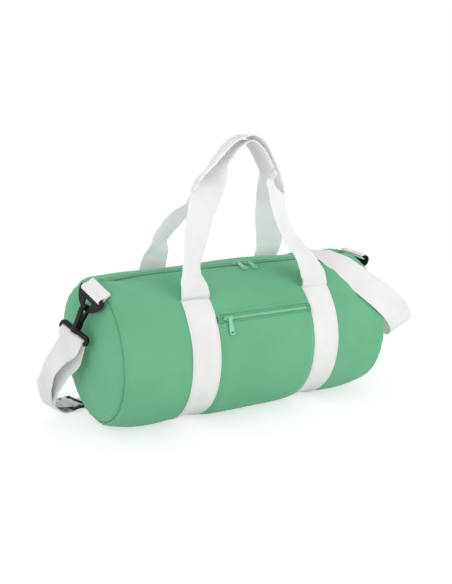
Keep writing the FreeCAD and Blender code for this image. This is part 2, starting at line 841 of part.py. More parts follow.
def hook_gate():
    """Lever that closes the hook's mouth, with trunnions in the hook's cheeks."""
    tip = nose_z - gate_tip_gap
    outer = eye_outer - soft_gap
    lever = [
        Vector(0, -outer, tip), Vector(0, -outer + gate_wall, tip),
        gate_pivot + Vector(0, gate_root_radius, gate_root_radius) * lever_root_share,
        Vector(0, gate_pivot.y - gate_root_radius, gate_pivot.z),
        Vector(0, -outer, tip - shank_length * lever_drop_share),
    ]
    shape = prism(lever, x_axis * gate_plate)
    shape = shape.fuse(cylinder_x(gate_root_radius, gate_plate, gate_pivot.y, gate_pivot.z))
    length = hook_plate - 2 * soft_gap
    shape = shape.fuse(cylinder_x(trunnion_radius, length, gate_pivot.y, gate_pivot.z))
    return shape.removeSplitter()


yoke_rod_z = yoke_slot_top - yoke_slot - yoke_rod_radius
rod_wrap = yoke_rod_radius + soft_gap + webbing / 2


def yoke():
    """Loop under the hook that holds the strap: round-cornered frame, recessed boss and a round rod."""
    half = yoke_plate / 2
    outer = ring_half + yoke_side
    low = yoke_rod_z - half
    frame = block(-outer, outer, -half, half, low, yoke_top)
    frame = frame.makeFillet(yoke_corner, upright_edges(frame, yoke_slot_top, yoke_top + half))
    frame = frame.makeFillet(yoke_side / 2, upright_edges(frame, low - half, low + pin_gap))
    frame = frame.makeFillet(yoke_round, flat_edges(frame))
    frame = frame.cut(block(-ring_half, ring_half, -yoke_plate, yoke_plate, low - half, yoke_slot_top))
    shape = frame.fuse(cylinder_z(stud_head_radius + boss_wall, yoke_slot_top, yoke_top))
    shape = shape.fuse(cylinder_x(yoke_rod_radius, 2 * ring_half + yoke_side, 0, yoke_rod_z))
    recess = cylinder_z(stud_head_radius + soft_gap, yoke_slot_top - soft_gap, yoke_slot_top + stud_recess)
    bore = cylinder_z(stud_radius + pin_gap, yoke_slot_top - soft_gap, yoke_top + soft_gap)
    return shape.cut(recess).cut(bore).removeSplitter()


clip_frames = {}
yoke_frames = {}
for name, side in (("left", -1), ("right", 1)):
    frame = clip_frame(side, name)
    clip_frames[name] = frame
    yoke_frames[name] = frame * Placement(Vector(), Rotation(z_axis, yoke_turn))
    save(name + "_ring_tab", placed(ring_tab(name), tab_frame(side, name)))
    save(name + "_d_ring", placed(d_ring(), frame))
    save(name + "_hook_body", placed(hook_body(), frame))
    save(name + "_hook_gate", placed(hook_gate(), frame))
    save(name + "_yoke", placed(yoke(), yoke_frames[name]))


# Shoulder strap: one webbing from the adjuster through the left yoke, behind and over the bag to the right yoke


glide_run = Vector(0.97, 0.24, 0).normalize()
glide_edge = Vector(glide_run.y, -glide_run.x, 0)
floor_z = strap_floor_gap + webbing / 2
glide_wrap = glide_bar_radius + soft_gap + webbing / 2
glide_z = floor_z + webbing / 2 + sewn_gap + glide_wrap + webbing / 2
glide_place_shares = (-1.008, 0.889)
glide_place = Vector(half_length * glide_place_shares[0], barrel_radius * glide_place_shares[1], glide_z)


def rod_turn(name, first, last, count):
    """Stations of the strap round a yoke's rod, over its top, from one side to the other."""
    frame = yoke_frames[name]
    stations = []
    for step in range(count + 1):
        turn = math.radians(first + (last - first) * step / count)
        point = Vector(0, rod_wrap * math.sin(turn), yoke_rod_z + rod_wrap * math.cos(turn))
        stations.append((frame.multVec(point), frame.Rotation.multVec(x_axis)))
    return stations


def below_rod(name, out, down):
    """Station on the strap just below a yoke's rod."""
    frame = yoke_frames[name]
    point = Vector(0, out, yoke_rod_z - down)
    return frame.multVec(point), frame.Rotation.multVec(x_axis)


def share_point(x_share, y_share, z_share):
    """Point given as shares of the half length, the radius and the radius."""
    return Vector(half_length * x_share, barrel_radius * y_share, barrel_radius * z_share)


def floor_point(x_share, y_share):
    """Point of the strap lying on the floor."""
    return Vector(half_length * x_share, barrel_radius * y_share, floor_z)


def rest_point(x_share, angle, gap_share=1):
    """Point of the strap lying on the barrel, or a few gaps above it."""
    return polar(angle, barrel_radius + strap_rest_gap * gap_share, half_length * x_share)


def glide_point(along, up):
    """Point beside the adjuster, along its run and above its middle."""
    return glide_place + glide_run * along + z_axis * up


front_edge = glide_edge
hem_turn = 8
hem = [(glide_point(-glide_spacing - glide_hem, -glide_wrap), front_edge)]
for step in range(hem_turn + 1):
    turn = math.pi * step / hem_turn
    along = -glide_spacing + glide_wrap * math.sin(turn)
    hem.append((glide_point(along, -glide_wrap * math.cos(turn)), front_edge))

wrap_down_share = 0.3
tail_share = 0.5
hem_share = 1.2
bar_shares = (0.62, 0.10, 2.2)
left_down = webbing_width * wrap_down_share
inner_layer = [
    (glide_point(-glide_spacing, glide_wrap), front_edge),
    (share_point(-1.164, 0.794, 0.222), Vector(0.25, -0.84, -0.48)),
    (share_point(-1.188, 0.587, 0.429), Vector(0.10, -0.72, -0.69)),
    (share_point(-1.176, 0.349, 0.635), Vector(-0.02, -0.70, -0.71)),
    (share_point(-1.148, 0.127, 0.857), Vector(-0.02, -0.74, -0.67)),
    (share_point(-1.128, -0.056, 1.040), Vector(0.15, -0.80, -0.57)),
]
outer_layer = [
    (share_point(-1.218, -0.048, 1.095), Vector(-0.08, -0.80, -0.60)),
    (share_point(-1.244, 0.151, 0.895), Vector(-0.20, -0.72, -0.66)),
    (share_point(-1.248, 0.368, 0.668), Vector(-0.04, -0.70, -0.71)),
    (share_point(-1.224, 0.627, 0.437), Vector(0.12, -0.70, -0.70)),
    (share_point(-1.208, 0.786, 0.290), Vector(0.22, -0.84, -0.48)),
    (share_point(-1.166, 0.822, 0.092), Vector(0.24, -0.97, -0.04)),
    (glide_point(-glide_spacing - glide_hem * hem_share, floor_z - glide_z), front_edge),
]
hump = glide_bar_radius + soft_gap + webbing / 2
threaded = [
    (glide_point(-glide_spacing * bar_shares[0], floor_z - glide_z), front_edge),
    (glide_point(-glide_spacing * bar_shares[1], hump), front_edge),
    (glide_point(glide_spacing * bar_shares[1], hump), front_edge),
    (glide_point(glide_spacing * bar_shares[0], floor_z - glide_z), front_edge),
]
rear_floor = [
    (glide_point(glide_spacing * bar_shares[2], floor_z - glide_z), front_edge),
    (floor_point(-0.700, 1.030), Vector(0.20, -0.98, 0)),
    (floor_point(-0.400, 1.130), Vector(0.12, -0.99, 0)),
    (floor_point(-0.100, 1.190), Vector(0.04, -1.00, 0)),
    (floor_point(0.200, 1.200), Vector(0.00, -1.00, 0)),
]
rear_climb = [
    (share_point(0.410, 1.205, 0.060), Vector(0.00, -1.00, 0)),
    (share_point(0.545, 1.215, 0.240), Vector(0.12, -1.00, 0)),
    (share_point(0.605, 1.225, 0.520), Vector(0.48, -0.88, 0)),
    (share_point(0.640, 1.210, 0.830), Vector(0.82, -0.57, 0)),
    (share_point(0.660, 1.120, 1.160), Vector(1.00, -0.15, 0)),
    (rest_point(0.676, -56), Vector(1.00, 0, 0)),
    (rest_point(0.690, -32, 1.3), Vector(1.00, 0.05, 0)),
    (rest_point(0.708, -10, 1.7), Vector(0.97, 0.25, 0)),
]
right_drape = [
    (rest_point(0.738, 12, 1.7), Vector(0.92, 0.38, 0.10)),
    (rest_point(0.786, 32), Vector(0.88, 0.40, 0.25)),
    (rest_point(0.850, 50, 1.3), Vector(0.84, 0.35, 0.42)),
    (rest_point(0.950, 66, 2.0), Vector(0.80, 0.24, 0.53)),
    (share_point(1.108, -0.905, 1.317), Vector(0.72, 0.12, 0.66)),
    (share_point(1.212, -0.778, 1.095), Vector(0.70, -0.30, 0.60)),
    (share_point(1.284, -0.640, 0.929), Vector(0.70, -0.45, 0.50)),
    (share_point(1.292, -0.437, 0.905), Vector(0.66, -0.68, 0.32)),
    (share_point(1.264, -0.222, 1.032), Vector(0.50, -0.85, 0.12)),
]


def turned_edges(stations, sign):
    """Stations with every edge direction reversed where sign is negative."""
    return [(centre, edge * sign) for centre, edge in stations]


left_wrap = turned_edges([below_rod("left", -rod_wrap, left_down)] + rod_turn("left", -90, 90, 6), -1)
left_leave = turned_edges([below_rod("left", rod_wrap, left_down)], -1)
right_arrive = [below_rod("right", rod_wrap, left_down)]
right_wrap = rod_turn("right", 90, -90, 6) + [below_rod("right", -rod_wrap, webbing_width * tail_share)]

span_steps = 4
route = left_leave + outer_layer + threaded + rear_floor + rear_climb + right_drape + right_arrive
long_run = smooth(route, span_steps)
loop_stop = span_steps * (len(outer_layer) + 1)
drape_start = loop_stop + span_steps * (len(threaded) + len(rear_floor) + len(rear_climb))
spans = (
    ("strap_left_return", hem + smooth(inner_layer + left_wrap[:1], span_steps)[1:-1]),
    ("strap_left_loop", left_wrap + long_run[:loop_stop]),
    ("strap_rear_run", long_run[loop_stop:drape_start]),
    ("strap_right_drape", long_run[drape_start:] + right_wrap),
)
whole = [station for name, stations in spans for station in stations]
outlines = ribbon_frames(whole)
start = 0
for name, stations in spans:
    stop = start + len(stations)
    save(name, Part.makeLoft(outlines[start:stop + 1], True, True))
    start = stop
strap_length = sum((after[0] - before[0]).Length for before, after in zip(whole[:-1], whole[1:]))


def strap_adjuster():
    """Three-bar slide: round bars across the strap between two flat rails."""
    half = webbing_width / 2 + soft_gap * 2
    shape = None
    for step in (-1, 0, 1):
        rod = Part.makeCylinder(
            glide_bar_radius, 2 * half + glide_rail,
            glide_point(step * glide_spacing, 0) - glide_edge * (half + glide_rail / 2), glide_edge,
        )
        shape = rod if shape is None else shape.fuse(rod)
    length = 2 * (glide_spacing + glide_bar_radius)
    tall = glide_rail_height / 2
    rail = block(-length / 2, length / 2, -glide_rail / 2, glide_rail / 2, -tall, tall)
    angle = math.degrees(math.atan2(glide_run.y, glide_run.x))
    for side in (-1, 1):
        place = glide_place + glide_edge * (side * (half + glide_rail / 2))
        shape = shape.fuse(placed(rail, Placement(place, Rotation(z_axis, angle))))
    return shape.removeSplitter()


save("strap_adjuster", strap_adjuster())
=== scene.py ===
"""Barrel bag in mint cloth with white webbing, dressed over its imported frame.

Lengths are in millimetres until a mesh is made. Angles round the barrel are in degrees, counted
from straight up and positive towards the pocket.
"""
from __future__ import annotations

import logging
import math
from dataclasses import dataclass
from enum import Enum

import bmesh
import bpy
import numpy as np
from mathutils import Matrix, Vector

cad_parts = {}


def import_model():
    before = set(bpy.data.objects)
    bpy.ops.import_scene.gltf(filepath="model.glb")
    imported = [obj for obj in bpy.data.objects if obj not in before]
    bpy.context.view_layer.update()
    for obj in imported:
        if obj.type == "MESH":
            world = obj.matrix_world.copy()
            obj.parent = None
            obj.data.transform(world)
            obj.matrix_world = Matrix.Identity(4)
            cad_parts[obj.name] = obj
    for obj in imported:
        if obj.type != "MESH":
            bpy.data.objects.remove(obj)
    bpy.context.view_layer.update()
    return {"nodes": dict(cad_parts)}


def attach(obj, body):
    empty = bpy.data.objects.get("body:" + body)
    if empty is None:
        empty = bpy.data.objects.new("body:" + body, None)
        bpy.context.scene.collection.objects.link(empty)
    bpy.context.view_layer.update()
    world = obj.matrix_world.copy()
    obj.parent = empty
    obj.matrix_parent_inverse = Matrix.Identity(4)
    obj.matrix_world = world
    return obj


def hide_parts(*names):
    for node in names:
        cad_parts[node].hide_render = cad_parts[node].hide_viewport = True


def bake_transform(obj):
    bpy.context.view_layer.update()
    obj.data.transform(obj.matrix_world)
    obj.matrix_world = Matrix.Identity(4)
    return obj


LOG = logging.getLogger("barrel_bag")
MM = 0.001
HALF_TURN = 180.0
WHOLE_TURN = 360.0
# A wave texture at scale one has this many lines in a length of tau.
WAVE_TURNS = 20.0
# Angles in degrees above which an edge shades as sharp.
SHEET_SHARP = 50.0
WEBBING_SHARP = 55.0
TOOTH_SHARP = 40.0
SIDES = ((-1, "left"), (1, "right"))
WHITE = (1.0, 1.0, 1.0, 1.0)
Array = np.ndarray
Material = bpy.types.Material
Obj = bpy.types.Object
Node = bpy.types.Node
NodeTree = bpy.types.NodeTree
Socket = bpy.types.NodeSocket
Pair = tuple[float, float]
Triple = tuple[float, float, float]
Rows = tuple[tuple[float, ...], ...]


class Body(str, Enum):
    """Moving bodies of the frame that the pieces ride on."""

    BAG = "bag"
    FLAP = "top_flap"
    FRONT_HANDLE = "front_handle"
    REAR_HANDLE = "rear_handle"
    LEFT_CLIP = "left_clip"
    RIGHT_CLIP = "right_clip"
    ADJUSTER = "adjuster"


class Slot(str, Enum):
    """Finish slots of the record that the new pieces use."""

    CLOTH = "mint_cloth"
    ZIP = "mint_zip"
    WEBBING = "white_webbing"


def linear(code: str) -> tuple[float, float, float, float]:
    """Turns an sRGB hex colour into linear red, green, blue and full alpha.

    Args:
        code: Six hex digits, with or without a leading hash.

    Returns:
        The linear colour.
    """
    parts = np.array([int(code.lstrip("#")[at:at + 2], 16) for at in (0, 2, 4)]) / 255.0
    low, high = parts / 12.92, ((parts + 0.055) / 1.055) ** 2.4
    red, green, blue = np.where(parts <= 0.04045, low, high)
    return float(red), float(green), float(blue), 1.0


def node(tree: NodeTree, kind: str, settings: dict | None = None, **inputs: object) -> Node:
    """Adds a node, sets its properties, and fills or links its sockets.

    Args:
        tree: Node tree that takes the node.
        kind: Node type name.
        settings: Properties of the node by name. The name stops gives a colour ramp its places
            and hex colours.
        inputs: Socket values by name, spaces written as underscores and i0, i1 for a socket by
            number. An output socket is linked, and anything else is set as the socket's value.

    Returns:
        The new node.
    """
    made = tree.nodes.new(kind)
    for name, value in (settings or {}).items():
        if name != "stops":
            setattr(made, name, value)
            continue
        for stop, (place, code) in zip(made.color_ramp.elements, value):
            stop.position, stop.color = place, linear(code)
    for name, value in inputs.items():
        key = int(name[1:]) if name[0] == "i" and name[1:].isdigit() else name.replace("_", " ")
        if isinstance(value, Socket):
            tree.links.new(value, made.inputs[key])
        else:
            made.inputs[key].default_value = value
    return made


def fresh_material(name: str) -> tuple[Material, NodeTree, Socket]:
    """Makes a material with an empty tree and an output.

    Args:
        name: Material name.

    Returns:
        The material, its tree and the output's surface socket.
    """
    made = bpy.data.materials.new(name)
    made.use_nodes = True
    tree = made.node_tree
    tree.nodes.clear()
    out = node(tree, "ShaderNodeOutputMaterial")
    return made, tree, out.inputs["Surface"]


def wave_scale(pitch: float) -> float:
    """Scale of a wave texture whose lines lie a pitch in millimetres apart."""
    return math.tau / (pitch * MM * WAVE_TURNS)


@dataclass(frozen=True)
class Finish:
    """Look of one material, with the lighter and the darker tone of its surface."""

    name: str
    light: str
    dark: str

    def material(self) -> Material:
        """Makes the material and gives it the finish's own shader.

        Returns:
            The material.
        """
        made, tree, surface = fresh_material(self.name)
        tree.links.new(self.shader(tree).outputs[0], surface)
        return made

    def shader(self, tree: NodeTree) -> Node:
        """Builds the nodes of the finish.

        Args:
            tree: Node tree of the material.

        Returns:
            The shader node.
        """
        raise NotImplementedError


@dataclass(frozen=True)
class WovenCloth(Finish):
    """Polyester oxford cloth, plain woven and coated on the back.

    The fine weave gives an even matt colour with a soft sheen at grazing angles. The threads are
    0.5 mm apart in life and are drawn 1.1 mm apart, because the real pitch is too fine to show.
    Drift and crease are counted in patches to the metre.
    """

    thread: float = 1.1
    rough: float = 0.72
    bump: float = 0.22
    sheen: str = "#b9dfd0"
    sheen_weight: float = 0.32
    drift: float = 9.0
    crease: float = 46.0
    crease_bump: float = 0.12
    weave_tone: float = 0.22
    gloss_spread: float = 0.12
    stops: Pair = (0.30, 0.85)

    def shader(self, tree: NodeTree) -> Node:
        """Builds the cloth: crossed waves on the UV map, slow colour drift and creases.

        Args:
            tree: Node tree of the material.

        Returns:
            The shader node.
        """
        uv = node(tree, "ShaderNodeUVMap").outputs["UV"]
        place = node(tree, "ShaderNodeTexCoord").outputs["Object"]
        waves = [
            node(tree, "ShaderNodeTexWave", {"bands_direction": way}, Vector=uv,
                 Scale=wave_scale(self.thread), Distortion=0.6, Detail=1.0).outputs["Fac"]
            for way in ("X", "Y")
        ]
        weave = node(tree, "ShaderNodeMath", {"operation": "MAXIMUM"},
                     i0=waves[0], i1=waves[1]).outputs[0]
        drift = node(tree, "ShaderNodeTexNoise", Vector=place, Scale=self.drift,
                     Detail=3.0).outputs["Fac"]
        crease = node(tree, "ShaderNodeTexNoise", Vector=place, Scale=self.crease, Detail=4.0,
                      Roughness=0.62).outputs["Fac"]
        mixed = node(tree, "ShaderNodeMath", {"operation": "MULTIPLY_ADD"}, i0=weave,
                     i1=self.weave_tone, i2=drift).outputs[0]
        tone = node(tree, "ShaderNodeValToRGB", {"stops": zip(self.stops, (self.dark, self.light))},
                    Fac=mixed).outputs["Color"]
        rough = node(tree, "ShaderNodeMath", {"operation": "MULTIPLY_ADD"}, i0=crease,
                     i1=self.gloss_spread, i2=self.rough - self.gloss_spread / 2).outputs[0]
        soft = node(tree, "ShaderNodeBump", Strength=self.crease_bump, Distance=0.004,
                    Height=crease).outputs["Normal"]
        fine = node(tree, "ShaderNodeBump", Strength=self.bump, Distance=0.0003, Height=weave,
                    Normal=soft).outputs["Normal"]
        return node(tree, "ShaderNodeBsdfPrincipled", Base_Color=tone, Roughness=rough, Normal=fine,
                    Sheen_Weight=self.sheen_weight, Sheen_Roughness=0.45,
                    Sheen_Tint=linear(self.sheen), Specular_IOR_Level=0.25)


@dataclass(frozen=True)
class Webbing(Finish):
    """Polypropylene webbing, woven in narrow ribs with a rolled selvedge on each edge.

    The ribs cross the strap and catch the light as fine lines; the selvedges are smooth. White yarn
    lets light through, so a strap lit from behind doesn't go dark. The UV map holds the places
    across and along the strap, in metres. Drift is counted in patches to the metre.
    """

    rib: float = 1.7
    half: float = 25.0
    rough: float = 0.62
    glow: float = 1.0
    depth: float = 5.5
    selvedge: Pair = (3.2, 2.2)
    selvedge_level: float = 0.9
    cords: float = 1.4
    cord_level: float = 0.4
    weave_tone: float = 0.16
    drift: float = 16.0
    bump: float = 0.14
    stops: Pair = (0.28, 0.80)

    def shader(self, tree: NodeTree) -> Node:
        """Builds the webbing: ribs across, cords along, and two selvedges from the UV map.

        Args:
            tree: Node tree of the material.

        Returns:
            The shader node.
        """
        uv = node(tree, "ShaderNodeUVMap").outputs["UV"]
        place = node(tree, "ShaderNodeTexCoord").outputs["Object"]
        scale = wave_scale(self.rib)
        rib = node(tree, "ShaderNodeTexWave", {"bands_direction": "Y"}, Vector=uv, Scale=scale,
                   Distortion=0.35, Detail=1.0, Detail_Scale=2.0).outputs["Fac"]
        cord = node(tree, "ShaderNodeTexWave", {"bands_direction": "X"}, Vector=uv,
                    Scale=scale * self.cords, Distortion=0.3).outputs["Fac"]
        across = node(tree, "ShaderNodeSeparateXYZ", Vector=uv).outputs["X"]
        reach = node(tree, "ShaderNodeMath", {"operation": "ABSOLUTE"}, i0=across).outputs[0]
        start, end = ((self.half - inset) * MM for inset in self.selvedge)
        edge = node(tree, "ShaderNodeMapRange", {"interpolation_type": "SMOOTHSTEP"}, Value=reach,
                    From_Min=start, From_Max=end).outputs[0]
        weave = node(tree, "ShaderNodeMath", {"operation": "MULTIPLY_ADD"}, i0=cord,
                     i1=self.cord_level, i2=rib).outputs[0]
        plain = node(tree, "ShaderNodeMix", {"data_type": "FLOAT"}, i0=edge, i2=weave,
                     i3=self.selvedge_level).outputs[0]
        drift = node(tree, "ShaderNodeTexNoise", Vector=place, Scale=self.drift,
                     Detail=3.0).outputs["Fac"]
        mixed = node(tree, "ShaderNodeMath", {"operation": "MULTIPLY_ADD"}, i0=plain,
                     i1=self.weave_tone, i2=drift).outputs[0]
        tone = node(tree, "ShaderNodeValToRGB", {"stops": zip(self.stops, (self.dark, self.light))},
                    Fac=mixed).outputs["Color"]
        bump = node(tree, "ShaderNodeBump", Strength=self.bump, Distance=0.0004,
                    Height=plain).outputs["Normal"]
        return node(tree, "ShaderNodeBsdfPrincipled", Base_Color=tone, Roughness=self.rough,
                    Normal=bump, Sheen_Weight=0.15, Sheen_Roughness=0.4, Specular_IOR_Level=0.3,
                    Subsurface_Weight=self.glow, Subsurface_Scale=self.depth * MM,
                    Subsurface_Radius=(1.0, 1.0, 1.0))


@dataclass(frozen=True)
class Moulded(Finish):
    """Moulded or enamelled hard finish with fine grain and paler patches at random.

    Acetal fittings are satin with a faint orange-peel grain; enamelled zip metal is smoother and
    brighter. The grain is in millimetres, and patches are counted to the metre.
    """

    rough: float
    grain: float = 0.9
    bump: float = 0.06
    coat: float = 0.0
    ior: float = 1.48
    patches: float = 120.0
    gloss_spread: float = 0.16
    stops: Pair = (0.35, 0.70)

    def shader(self, tree: NodeTree) -> Node:
        """Builds the finish: grain and patchy gloss from noise on Object coordinates.

        Args:
            tree: Node tree of the material.

        Returns:
            The shader node.
        """
        place = node(tree, "ShaderNodeTexCoord").outputs["Object"]
        fine = node(tree, "ShaderNodeTexNoise", Vector=place, Scale=1 / (2 * self.grain * MM),
                    Detail=2.0).outputs["Fac"]
        patch = node(tree, "ShaderNodeTexNoise", Vector=place, Scale=self.patches,
                     Detail=4.0).outputs["Fac"]
        tone = node(tree, "ShaderNodeValToRGB", {"stops": zip(self.stops, (self.dark, self.light))},
                    Fac=patch).outputs["Color"]
        rough = node(tree, "ShaderNodeMath", {"operation": "MULTIPLY_ADD"}, i0=patch,
                     i1=self.gloss_spread, i2=self.rough - self.gloss_spread / 2).outputs[0]
        bump = node(tree, "ShaderNodeBump", Strength=self.bump, Distance=0.0003,
                    Height=fine).outputs["Normal"]
        return node(tree, "ShaderNodeBsdfPrincipled", Base_Color=tone, Roughness=rough, Normal=bump,
                    Coat_Weight=self.coat, Coat_Roughness=0.2, IOR=self.ior)


@dataclass(frozen=True)
class Thread(Finish):
    """Twisted polyester sewing thread: a soft gloss broken by its twist.

    Twist is the scale of the wave texture that draws it.
    """

    twist: float = 420.0
    stops: Pair = (0.2, 0.8)

    def shader(self, tree: NodeTree) -> Node:
        """Builds the thread: a fine diagonal twist from a wave on Object coordinates.

        Args:
            tree: Node tree of the material.

        Returns:
            The shader node.
        """
        place = node(tree, "ShaderNodeTexCoord").outputs["Object"]
        twist = node(tree, "ShaderNodeTexWave", {"bands_direction": "DIAGONAL"}, Vector=place,
                     Scale=self.twist, Distortion=1.5, Detail=2.0).outputs["Fac"]
        tone = node(tree, "ShaderNodeValToRGB", {"stops": zip(self.stops, (self.dark, self.light))},
                    Fac=twist).outputs["Color"]
        return node(tree, "ShaderNodeBsdfPrincipled", Base_Color=tone, Roughness=0.5,
                    Sheen_Weight=0.2)


@dataclass(frozen=True)
class Finishes:
    """All finishes of the bag, made once."""

    cloth: Material
    lining: Material
    # The tape and the darker teeth of the main zip carry painted shade: their colour stands for the
    # shadow in the zip's slot.
    tape: Material
    teeth: Material
    slot_shade_teeth: Material
    enamel: Material
    webbing: Material
    # Webbing for the handles and the strap's hanging loops, tinted pinkish: painted colour that
    # cancels the green light bounced onto them from the cloth.
    loose_webbing_pink_against_bounce: Material
    plastic: Material
    mint_thread: Material
    white_thread: Material

    @classmethod
    def make(cls) -> "Finishes":
        """Builds every material once.

        Returns:
            All of them together.
        """
        kinds = {
            "cloth": WovenCloth("mint_oxford_polyester", "#6fb98f", "#62ae83"),
            "lining": WovenCloth("grey_green_coated_back", "#5f9c7f", "#548d72", bump=0.1,
                                 rough=0.5),
            # Darker than the cloth: painted shade for the shadow in the main zip's slot.
            "tape": WovenCloth("mint_zip_tape_painted_slot_shade", "#5b9f7c", "#4c8d6b", thread=1.4, bump=0.3),
            "teeth": Moulded("mint_moulded_teeth", "#a0dcbc", "#8ccfa9", 0.38, coat=0.1),
            # Teeth of the main zip, darkened: painted shade for the shadow in its slot. The pocket's
            # teeth use the paler mint.
            "slot_shade_teeth": Moulded("mint_teeth_painted_slot_shade", "#579879", "#478566", 0.42),
            "enamel": Moulded("mint_enamelled_zinc", "#8bd1ae", "#7cc49f", 0.34, coat=0.25),
            "webbing": Webbing("white_polypropylene_webbing", "#f3f3f2", "#e7e7e6", glow=0.15,
                               depth=1.5),
            # More light passes through this webbing. Its pinkish tint is painted: it cancels the
            # green light bounced from the cloth, and it is not the webbing's own white.
            "loose_webbing_pink_against_bounce": Webbing("white_webbing_loose_pink_against_green_bounce", "#fcf6f9", "#f0eaed"),
            "plastic": Moulded("black_acetal", "#141517", "#0b0c0d", 0.4, bump=0.1, ior=1.34),
            "mint_thread": Thread("mint_polyester_thread", "#508f6d", "#386f52"),
            "white_thread": Thread("white_polyester_thread", "#f0f0ee", "#cfcfcc"),
        }
        return cls(**{name: finish.material() for name, finish in kinds.items()})


def unit(vectors: Array) -> Array:
    """Scales vectors along the last axis to length one."""
    return vectors / np.maximum(np.linalg.norm(vectors, axis=-1, keepdims=True), 1e-9)


def ease(value: Array) -> Array:
    """Smooth step from 0 to 1: three squares less two cubes of the clipped value."""
    clipped = np.clip(value, 0.0, 1.0)
    return clipped * clipped * (3.0 - 2.0 * clipped)


def new_object(name: str, points: Array, faces: list, finish: Material, uv: Array | None = None,
               normals: Array | None = None, sharp: float | None = None) -> Obj:
    """Puts arrays into a mesh object at the origin.

    Args:
        name: Object name.
        points: Corner points, in millimetres.
        faces: Corner numbers of each face.
        finish: Material of the piece.
        uv: Place of each corner on the cloth, in millimetres.
        normals: Normal of each corner, where neighbouring pieces have to shade as one.
        sharp: Angle in degrees above which an edge shades as sharp.

    Returns:
        The object, linked to the scene.
    """
    mesh = bpy.data.meshes.new(name)
    mesh.from_pydata((points * MM).tolist(), [], faces)
    mesh.polygons.foreach_set("use_smooth", np.ones(len(mesh.polygons), dtype=bool))
    if uv is not None:
        corner = np.empty(len(mesh.loops), dtype=np.int32)
        mesh.loops.foreach_get("vertex_index", corner)
        layer = mesh.uv_layers.new(name="UVMap")
        layer.data.foreach_set("uv", (uv[corner] * MM).astype(np.float32).ravel())
    mesh.materials.append(finish)
    mesh.update()
    if sharp is not None:
        mesh.set_sharp_from_angle(angle=math.radians(sharp))
    if normals is not None:
        mesh.normals_split_custom_set_from_vertices(normals.tolist())
    made = bpy.data.objects.new(name, mesh)
    bpy.context.scene.collection.objects.link(made)
    return made


def grid_normals(points: Array) -> Array:
    """Unit normals of a grid: the cross product of its two directions of travel."""
    return unit(np.cross(np.gradient(points, axis=1), np.gradient(points, axis=0)))


def graded(knots: tuple[float, ...], cells: tuple[int, ...]) -> Array:
    """Grid lines through knots, with a number of even cells from each knot to the next.

    Args:
        knots: Places that get a grid line.
        cells: Number of cells in each span.

    Returns:
        The grid lines.
    """
    runs = [
        np.linspace(start, end, count, endpoint=False)
        for start, end, count in zip(knots, knots[1:], cells)
    ]
    return np.concatenate(runs + [knots[-1:]])


def slab(name: str, outer: Array, inner: Array, finish: Material, uv: Array,
         keep: Array | None = None, normals: Array | None = None, wrap: bool = False) -> Obj:
    """Closed sheet between two grids, with a rim along every open edge.

    Each kept cell gives an outer and an inner face, and a cell side with no kept neighbour gives a
    rim face. With wrap, the last column of the grid is the first one again.

    Args:
        name: Object name.
        outer: Outer grid of points.
        inner: Inner grid of points.
        finish: Material of the piece.
        uv: Cloth places of the grid.
        keep: Cells that belong to the piece, all of them when left out.
        normals: Normals of the outer grid, used for both faces when given.
        wrap: Whether the columns close on themselves.

    Returns:
        The object.
    """
    rows, columns = outer.shape[:2]
    keep = np.ones((rows - 1, columns - 1), dtype=bool) if keep is None else keep
    number = np.arange(rows * columns).reshape(rows, columns)
    if wrap:
        number = number.copy()
        number[:, -1] = number[:, 0]
    a, b, c, d = number[:-1, :-1], number[:-1, 1:], number[1:, 1:], number[1:, :-1]
    shift = rows * columns
    top = np.stack([a, b, c, d], -1)[keep]
    low = np.stack([d, c, b, a], -1)[keep] + shift
    padded = np.pad(keep, 1)
    if wrap:
        padded[1:-1, 0], padded[1:-1, -1] = keep[:, -1], keep[:, 0]
    sides = (
        (a, b, padded[:-2, 1:-1]), (b, c, padded[1:-1, 2:]),
        (c, d, padded[2:, 1:-1]), (d, a, padded[1:-1, :-2]),
    )
    rims = [
        np.stack([end, start, start + shift, end + shift], -1)[keep & ~beyond]
        for start, end, beyond in sides
    ]
    faces = np.concatenate([top, low] + rims)
    points = np.concatenate([outer.reshape(-1, 3), inner.reshape(-1, 3)])
    first = top[len(top) // 2]
    facing = np.cross(points[first[1]] - points[first[0]], points[first[2]] - points[first[1]])
    if facing @ (points[first[0]] - points[first[0] + shift]) < 0:
        faces = faces[:, ::-1]
    used, packed = np.unique(faces, return_inverse=True)
    faces = packed.reshape(-1, 4).tolist()
    spread = np.concatenate([uv.reshape(-1, 2)] * 2)[used]
    if normals is None:
        return new_object(name, points[used], faces, finish, spread, sharp=SHEET_SHARP)
    flat = normals.reshape(-1, 3)
    shades = np.concatenate([flat, -flat])[used]
    return new_object(name, points[used], faces, finish, spread, shades)


def smooth_run(points: Array, steps: int) -> Array:
    """Smooth curve through points: cubic Hermite spans whose slopes weigh the two nearest chords.

    Args:
        points: Points of the route.
        steps: Steps of each span.

    Returns:
        The finer route.
    """
    chord = np.diff(points, axis=0)
    span = np.linalg.norm(chord, axis=1, keepdims=True)
    rate = chord / span
    middle = (rate[:-1] * span[1:] + rate[1:] * span[:-1]) / (span[:-1] + span[1:])
    turn = rate[:-1, 2] * rate[1:, 2] <= 0
    middle[turn, 2] = 0.0
    way = np.concatenate([rate[:1], middle, rate[-1:]])
    share = (np.arange(steps) / steps)[None, :, None]
    lift = share ** 2 * (3 - 2 * share)
    route = points[:-1, None] * (1 - lift) + points[1:, None] * lift
    route = route + way[:-1, None] * span[:, None] * share * (1 - share) ** 2
    route = route - way[1:, None] * span[:, None] * share ** 2 * (1 - share)
    return np.concatenate([route.reshape(-1, 3), points[-1:]])


